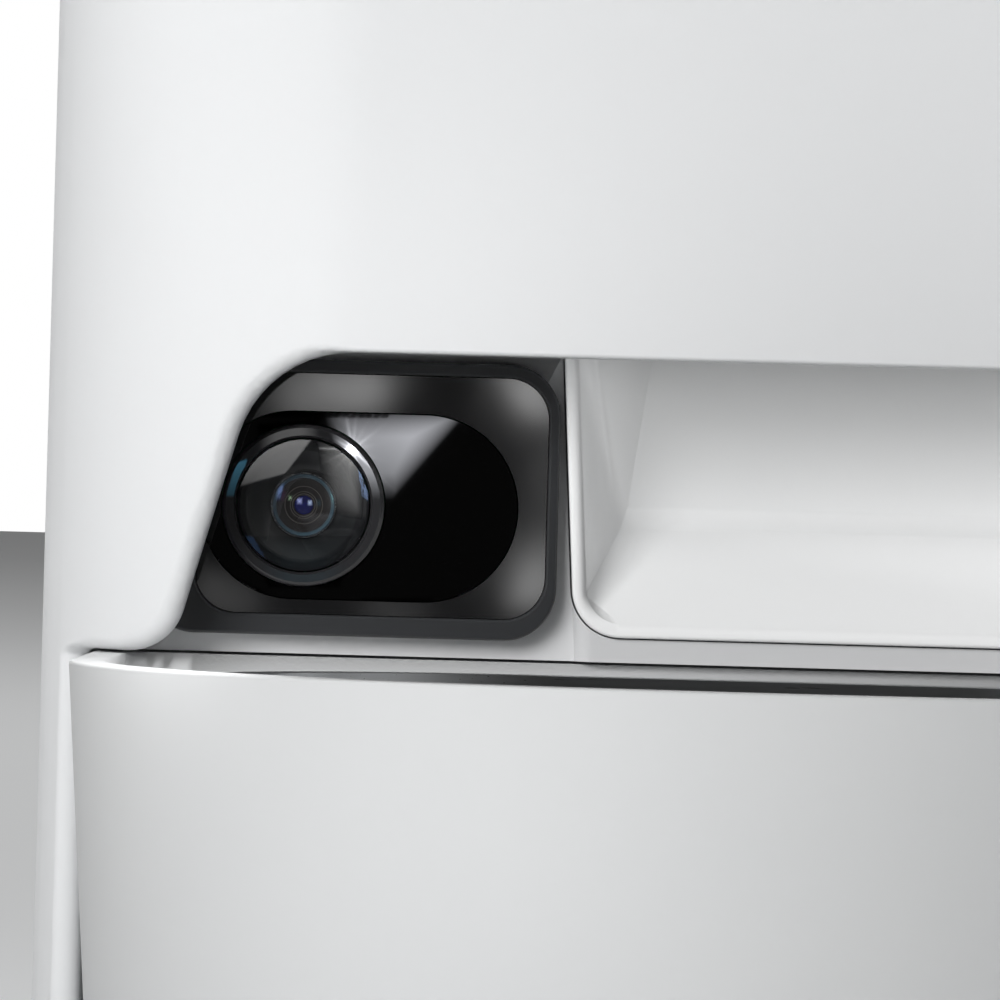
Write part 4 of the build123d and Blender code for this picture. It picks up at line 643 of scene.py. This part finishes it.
CARDS = (
    Card("card_face_left", Mirror.FACE, ((282, 366), (410, 366), (388, 418), (262, 418)), (9.0, 11.0, 8.0, 5.0)),
    Card("card_face_right", Mirror.FACE, ((486, 360), (562, 360), (566, 432), (520, 420)), (11.5, 12.0, 8.0, 9.0)),
    Card("card_face_edge", Mirror.FACE, ((528, 452), (566, 430), (566, 545), (528, 560)), (1.4, 4.0, 0.9, 0.3)),
    Card("card_face_low", Mirror.FACE, ((524, 545), (566, 520), (566, 612), (500, 612)), (10.0, 7.5, 8.0, 10.5)),
    Card("card_face_bottom", Mirror.FACE, ((362, 598), (432, 598), (436, 622), (352, 622)), (2.6, 1.4, 1.2, 1.8)),
    Card("card_face_corner", Mirror.FACE, ((196, 560), (262, 590), (270, 622), (180, 622)), (2.4, 1.4, 1.4, 2.4)),
    Card("card_window_glow", Mirror.WINDOW, ((322, 410), (470, 410), (392, 500), (352, 500)), (6.0, 19.0, 2.6, 3.0),
         colour="#F6F8FF", soft=0.3, glint=1.0),
    Card("card_dome_crescent", Mirror.DOME, ((242, 444), (316, 436), (286, 474), (238, 488)), (4.2, 3.6, 2.8, 0.7),
         soft=0.03),
    Card("card_dome_haze", Mirror.DOME, ((316, 438), (368, 440), (362, 520), (326, 514)), (0.6, 5.0, 2.2, 0.5),
         soft=0.3, glint=0.6),
    Card("card_dome_slice", Mirror.DOME, ((356, 459), (366, 459), (374, 506), (362, 497)), (22.0, 20.0, 6.0, 6.0),
         colour="#93ACD6", soft=0.04),
    Card("card_dome_patch", Mirror.DOME, ((242, 534), (259, 539), (270, 560), (256, 556)), (1.6, 1.6, 0.9, 1.4),
         colour="#5F86BE", soft=0.04),
    Card("card_dome_low", Mirror.DOME, ((252, 536), (352, 536), (332, 574), (276, 574)), (0.3, 0.3, 0.45, 0.45),
         colour="#5E8A96", soft=0.4),
    Card("card_ring_slice", Mirror.RING, ((235, 462), (248, 458), (236, 497), (224, 497)), (5.0, 5.0, 1.2, 1.2),
         colour="#5596B4", soft=0.04),
    Card("card_ring_top", Mirror.RING, ((258, 424), (320, 418), (320, 446), (258, 450)), (1.3, 1.5, 1.5, 1.3),
         soft=0.3),
    Card("card_ring_low", Mirror.RING, ((256, 556), (352, 556), (340, 588), (268, 588)), (0.4, 0.4, 0.6, 0.6),
         colour="#3F8CA0", soft=0.3),
    Card("card_lens_streak", Mirror.ELEMENT, ((277, 484), (286, 483), (281, 501), (276, 502)), (7.0, 9.0, 4.0, 4.0),
         colour="#8CAAF0", soft=0.4),
    Card("card_lens_magenta", Mirror.ELEMENT, ((283, 490), (287, 490), (284, 502), (281, 502)), (2.4, 2.4, 2.0, 2.0),
         colour="#8A2F86", soft=0.4),
    Card("card_lens_green", Mirror.ELEMENT, ((288, 495), (293, 495), (293, 501), (288, 501)), (7.0, 7.0, 7.0, 7.0),
         colour="#B9DCB4", soft=0.5),
    Card("card_lens_teal", Mirror.ELEMENT, ((329, 490), (332, 490), (334, 504), (331, 504)), (7.0, 7.0, 5.0, 5.0),
         colour="#86CFCB", soft=0.4),
    Card("card_lens_spot", Mirror.ELEMENT, ((315, 499), (321, 499), (321, 507), (315, 507)), (3.0, 3.0, 2.0, 2.0),
         colour="#78A9BC", soft=0.5),
    Card("card_pupil_left", Mirror.PUPIL, ((297, 498), (303, 498), (303, 505), (297, 505)), (14.0, 14.0, 8.0, 8.0),
         colour="#C9D0FF", soft=0.5),
    Card("card_pupil_right", Mirror.PUPIL, ((307, 500), (312, 500), (312, 506), (307, 506)), (14.0, 14.0, 10.0, 10.0),
         colour="#D5E6FF", soft=0.5),
)


@dataclass(frozen=True)
class Lamp:
    """A square softbox."""

    name: str
    place_m: tuple[float, float, float]
    target_m: tuple[float, float, float]
    size_m: float
    watts: float
    # Pieces that it alone lights, or none for all
    lights: tuple[str, ...] = ()


# A key from the left, fills that each lift one surface, and two lamps for the back and the floor
LAMPS = (
    Lamp("key", (-0.45, -0.8, 0.42), (-0.03, -0.04, 0.1), 0.45, 6.1),
    Lamp("mouth", (0.06, -0.6, 0.04), (0.0, -0.03, 0.08), 0.25, 1.4, lights=("chute_skin",)),
    Lamp("brow", (-0.046, -0.093, 0.1), (-0.046, -0.045, 0.1), 0.04, 0.0042, lights=("outer_shell_skin",)),
    Lamp("sheen", (-0.052, -0.215, 0.04), (-0.052, -0.145, 0.04), 0.04, 0.0165, lights=("tray_skin",)),
    Lamp("deck", (-0.055, -0.11, 0.1), (-0.055, -0.03, 0.058), 0.06, 0.08, lights=("tray_skin",)),
    Lamp("back", (1.3, 1.6, 1.4), (0.0, 0.0, 0.15), 1.2, 18.0),
    Lamp("floor_wash", (-0.8, 1.8, 3.5), (-0.8, 1.8, 0.0), 4.0, 38.0, lights=("floor",)),
)


@dataclass
class Studio:
    """A pale floor, soft lamps and the camera at the photograph's viewing angle."""

    pixels: float = 1000.0
    pixels_per_mm: float = 7.5
    subject_y_mm: float = -20.0
    aim_x_mm: float = -33.3
    aim_z_mm: float = 81.6
    distance_mm: float = 950.0
    elevation_deg: float = 0.0
    roll_deg: float = 1.6
    sensor_mm: float = 36.0
    floor_m: float = 12.0
    background: str = "#FFFFFF"
    ambient: float = 0.16
    # Strength of what glossy surfaces mirror in front of the feeder and beside it
    glossy_front: float = 0.03
    glossy_side: float = 0.5
    card_cells: int = 16
    glint_cells: int = 110
    # How many times faster the glint fades in from a card's border than the card's own glow
    glint_fade: float = 4.0

    def build(self) -> None:
        """Makes the floor, the world, the lamps and the camera."""
        self.add_floor()
        self.light_world()
        for lamp in LAMPS:
            self.add_lamp(lamp)
        self.add_camera()
        for card in CARDS:
            self.add_card(card)
        bpy.context.scene.view_settings.view_transform = "Standard"

    def add_floor(self) -> None:
        """Lays a large pale disc under the feeder."""
        form = bmesh.new()
        bmesh.ops.create_circle(form, cap_ends=True, segments=64, radius=self.floor_m)
        mesh = bpy.data.meshes.new("floor")
        form.to_mesh(mesh)
        form.free()
        floor = bpy.data.objects.new("floor", mesh)
        bpy.context.scene.collection.objects.link(floor)
        finish = MouldedPlastic("pale_floor", "#E6E7E8", 0.7, grain=Grain.POLISHED, flow_mm=900.0, shade="#EAEBEB")
        mesh.materials.append(finish.build())
        floor.visible_glossy = floor.visible_transmission = False

    def light_world(self) -> None:
        """Makes the surroundings white where they are seen, and dimmer towards the front where they are reflected."""
        world = bpy.data.worlds.new("studio")
        bpy.context.scene.world = world
        world.use_nodes = True
        tree = world.node_tree
        tree.nodes.clear()
        rays = add_node(tree, "ShaderNodeLightPath")
        direction = add_node(tree, "ShaderNodeSeparateXYZ", inputs={
            "Vector": add_node(tree, "ShaderNodeTexCoord").outputs["Generated"]})
        front = add_node(tree, "ShaderNodeMapRange", {"interpolation_type": "SMOOTHSTEP"}, {
            "Value": direction.outputs["Y"], "From Min": -0.95, "From Max": -0.2,
            "To Min": self.glossy_front, "To Max": self.glossy_side})
        reflected = add_node(tree, "ShaderNodeMix", {"data_type": "FLOAT"}, {
            0: rays.outputs["Is Glossy Ray"], 2: self.ambient, 3: front.outputs[0]})
        strength = add_node(tree, "ShaderNodeMix", {"data_type": "FLOAT"}, {
            0: rays.outputs["Is Camera Ray"], 2: reflected.outputs[0], 3: 1.0})
        light = add_node(tree, "ShaderNodeBackground", inputs={
            "Color": linear(self.background), "Strength": strength.outputs[0]})
        add_node(tree, "ShaderNodeOutputWorld", inputs={"Surface": light.outputs[0]})

    def add_lamp(self, lamp: Lamp) -> None:
        """Hangs a softbox."""
        light = bpy.data.lights.new(lamp.name, "AREA")
        light.size = lamp.size_m
        light.energy = lamp.watts
        holder = bpy.data.objects.new(lamp.name, light)
        holder.location = lamp.place_m
        aim = Vector(lamp.target_m) - Vector(lamp.place_m)
        holder.rotation_euler = aim.to_track_quat("-Z", "Y").to_euler()
        holder.visible_camera = False
        holder.visible_glossy = holder.visible_transmission = False
        bpy.context.scene.collection.objects.link(holder)
        if lamp.lights:
            holder.light_linking.receiver_collection = self.gather(lamp.name, lamp.lights)

    def gather(self, name: str, pieces: tuple[str, ...]) -> bpy.types.Collection:
        """Returns a new collection of the named pieces."""
        group = bpy.data.collections.new(name + "_pieces")
        for piece in pieces:
            group.objects.link(bpy.data.objects[piece])
        return group

    def add_camera(self) -> None:
        """Places the camera on the line of sight to the middle of the photograph."""
        lens = bpy.data.cameras.new("camera")
        lens.sensor_width = self.sensor_mm
        width_mm = self.pixels / self.pixels_per_mm
        lens.lens = self.sensor_mm * self.distance_mm / width_mm
        lens.clip_start = 0.05
        lens.clip_end = 60.0
        camera = bpy.data.objects.new("camera", lens)
        slope = math.radians(self.elevation_deg)
        back = Vector((0, -math.cos(slope), math.sin(slope)))
        aim = Vector((self.aim_x_mm, self.subject_y_mm, self.aim_z_mm)) * MM
        turn = (-back).to_track_quat("-Z", "Y").to_matrix().to_4x4()
        roll = Matrix.Rotation(math.radians(self.roll_deg), 4, "Z")
        camera.matrix_world = Matrix.Translation(aim + back * self.distance_mm * MM) @ turn @ roll
        bpy.context.scene.collection.objects.link(camera)
        bpy.context.scene.camera = camera

    def sight(self, pixel: Vector) -> tuple[Vector, Vector]:
        """Returns the camera's place, and the direction in which it sees a pixel of the photograph."""
        camera = bpy.context.scene.camera
        reach = self.distance_mm * self.pixels_per_mm
        view = Vector((pixel.x - self.pixels / 2, self.pixels / 2 - pixel.y, -reach)).normalized()
        return camera.matrix_world.translation, camera.matrix_world.to_3x3() @ view

    def mirrored(self, card: Card, pixel: Vector) -> Vector:
        """Returns the place of a card's point that its mirror shows at a pixel.

        Args:
            card: The card.
            pixel: The pixel of the photograph.
        """
        eye, view = self.sight(pixel)
        _, depth_mm, ball_mm, reach_mm = card.mirror.value
        centre = Vector((Lens.x_mm, depth_mm, Lens.z_mm)) * MM
        facing = Vector((0, 1, 0))
        place = eye + view * ((centre.y - eye.y) / view.y)
        if ball_mm:
            off = eye - centre
            inside = max(off.dot(view) ** 2 - off.length_squared + (ball_mm * MM) ** 2, 0.0)
            place = eye + view * (-off.dot(view) - math.sqrt(inside))
            facing = (place - centre).normalized()
        return place + view.reflect(facing) * reach_mm * MM

    def glint(self, pixel: Vector) -> float:
        """Returns the glow of the glint's core, halo and rays at a pixel."""
        off = pixel - Vector(GLINT)
        glow = GLINT_CORE[0] * math.exp(-(off.length / GLINT_CORE[1]) ** 2)
        glow += GLINT_HALO[0] * math.exp(-off.length / GLINT_HALO[1])
        for angle, length, strength in RAYS:
            ray = Vector((math.cos(math.radians(angle)), -math.sin(math.radians(angle))))
            along, across = off.dot(ray), off.cross(ray)
            if along > 0:
                glow += RAY_GAIN * strength * math.exp(-(across / RAY_WIDTH) ** 2 - along / length)
        return glow

    def add_card(self, card: Card) -> None:
        """Bends a grid to where a mirror shows it, with its glow fading to its borders.

        Args:
            card: The card.
        """
        form = bmesh.new()
        cells = self.glint_cells if card.glint else self.card_cells
        bmesh.ops.create_grid(form, x_segments=cells, y_segments=cells, size=0.5)
        glow = form.verts.layers.float.new("glow")
        corners = [Vector(corner) for corner in card.corners]
        for vert in form.verts:
            across, down = vert.co.x + 0.5, 0.5 - vert.co.y
            upper = corners[0].lerp(corners[1], across)
            pixel = upper.lerp(corners[3].lerp(corners[2], across), down)
            border = min(across, 1 - across, down, 1 - down) / card.soft
            level = (card.glow[0] * (1 - across) + card.glow[1] * across) * (1 - down) + (
                card.glow[3] * (1 - across) + card.glow[2] * across) * down
            star = card.glint * self.glint(pixel) * min(self.glint_fade * border, 1.0)
            vert[glow] = level * min(border, 1.0) + star
            vert.co = self.mirrored(card, pixel)
        mesh = bpy.data.meshes.new(card.name)
        form.to_mesh(mesh)
        form.free()
        mesh.materials.append(self.card_finish(card))
        piece = bpy.data.objects.new(card.name, mesh)
        bpy.context.scene.collection.objects.link(piece)
        piece.visible_camera = False
        piece.visible_diffuse = False
        piece.visible_shadow = False
        piece.visible_transmission = False
        piece.light_linking.receiver_collection = self.gather(card.name, card.mirror.value[0])

    def card_finish(self, card: Card) -> bpy.types.Material:
        """Returns a glowing cloth for a card, whose strength its mesh holds."""
        made = bpy.data.materials.new(card.name)
        made.use_nodes = True
        tree = made.node_tree
        tree.nodes.clear()
        glow = add_node(tree, "ShaderNodeAttribute", {"attribute_name": "glow"})
        light = add_node(tree, "ShaderNodeEmission", inputs={
            "Color": linear(card.colour), "Strength": glow.outputs["Fac"]})
        add_node(tree, "ShaderNodeOutputMaterial", inputs={"Surface": light.outputs[0]})
        return made


def main() -> None:
    """Dresses the frame and sets the studio."""
    logging.basicConfig(level=logging.INFO, format="%(message)s")
    FeederFrame().dress()
    Lens().build()
    Studio().build()


if __name__ == "__main__":
    main()
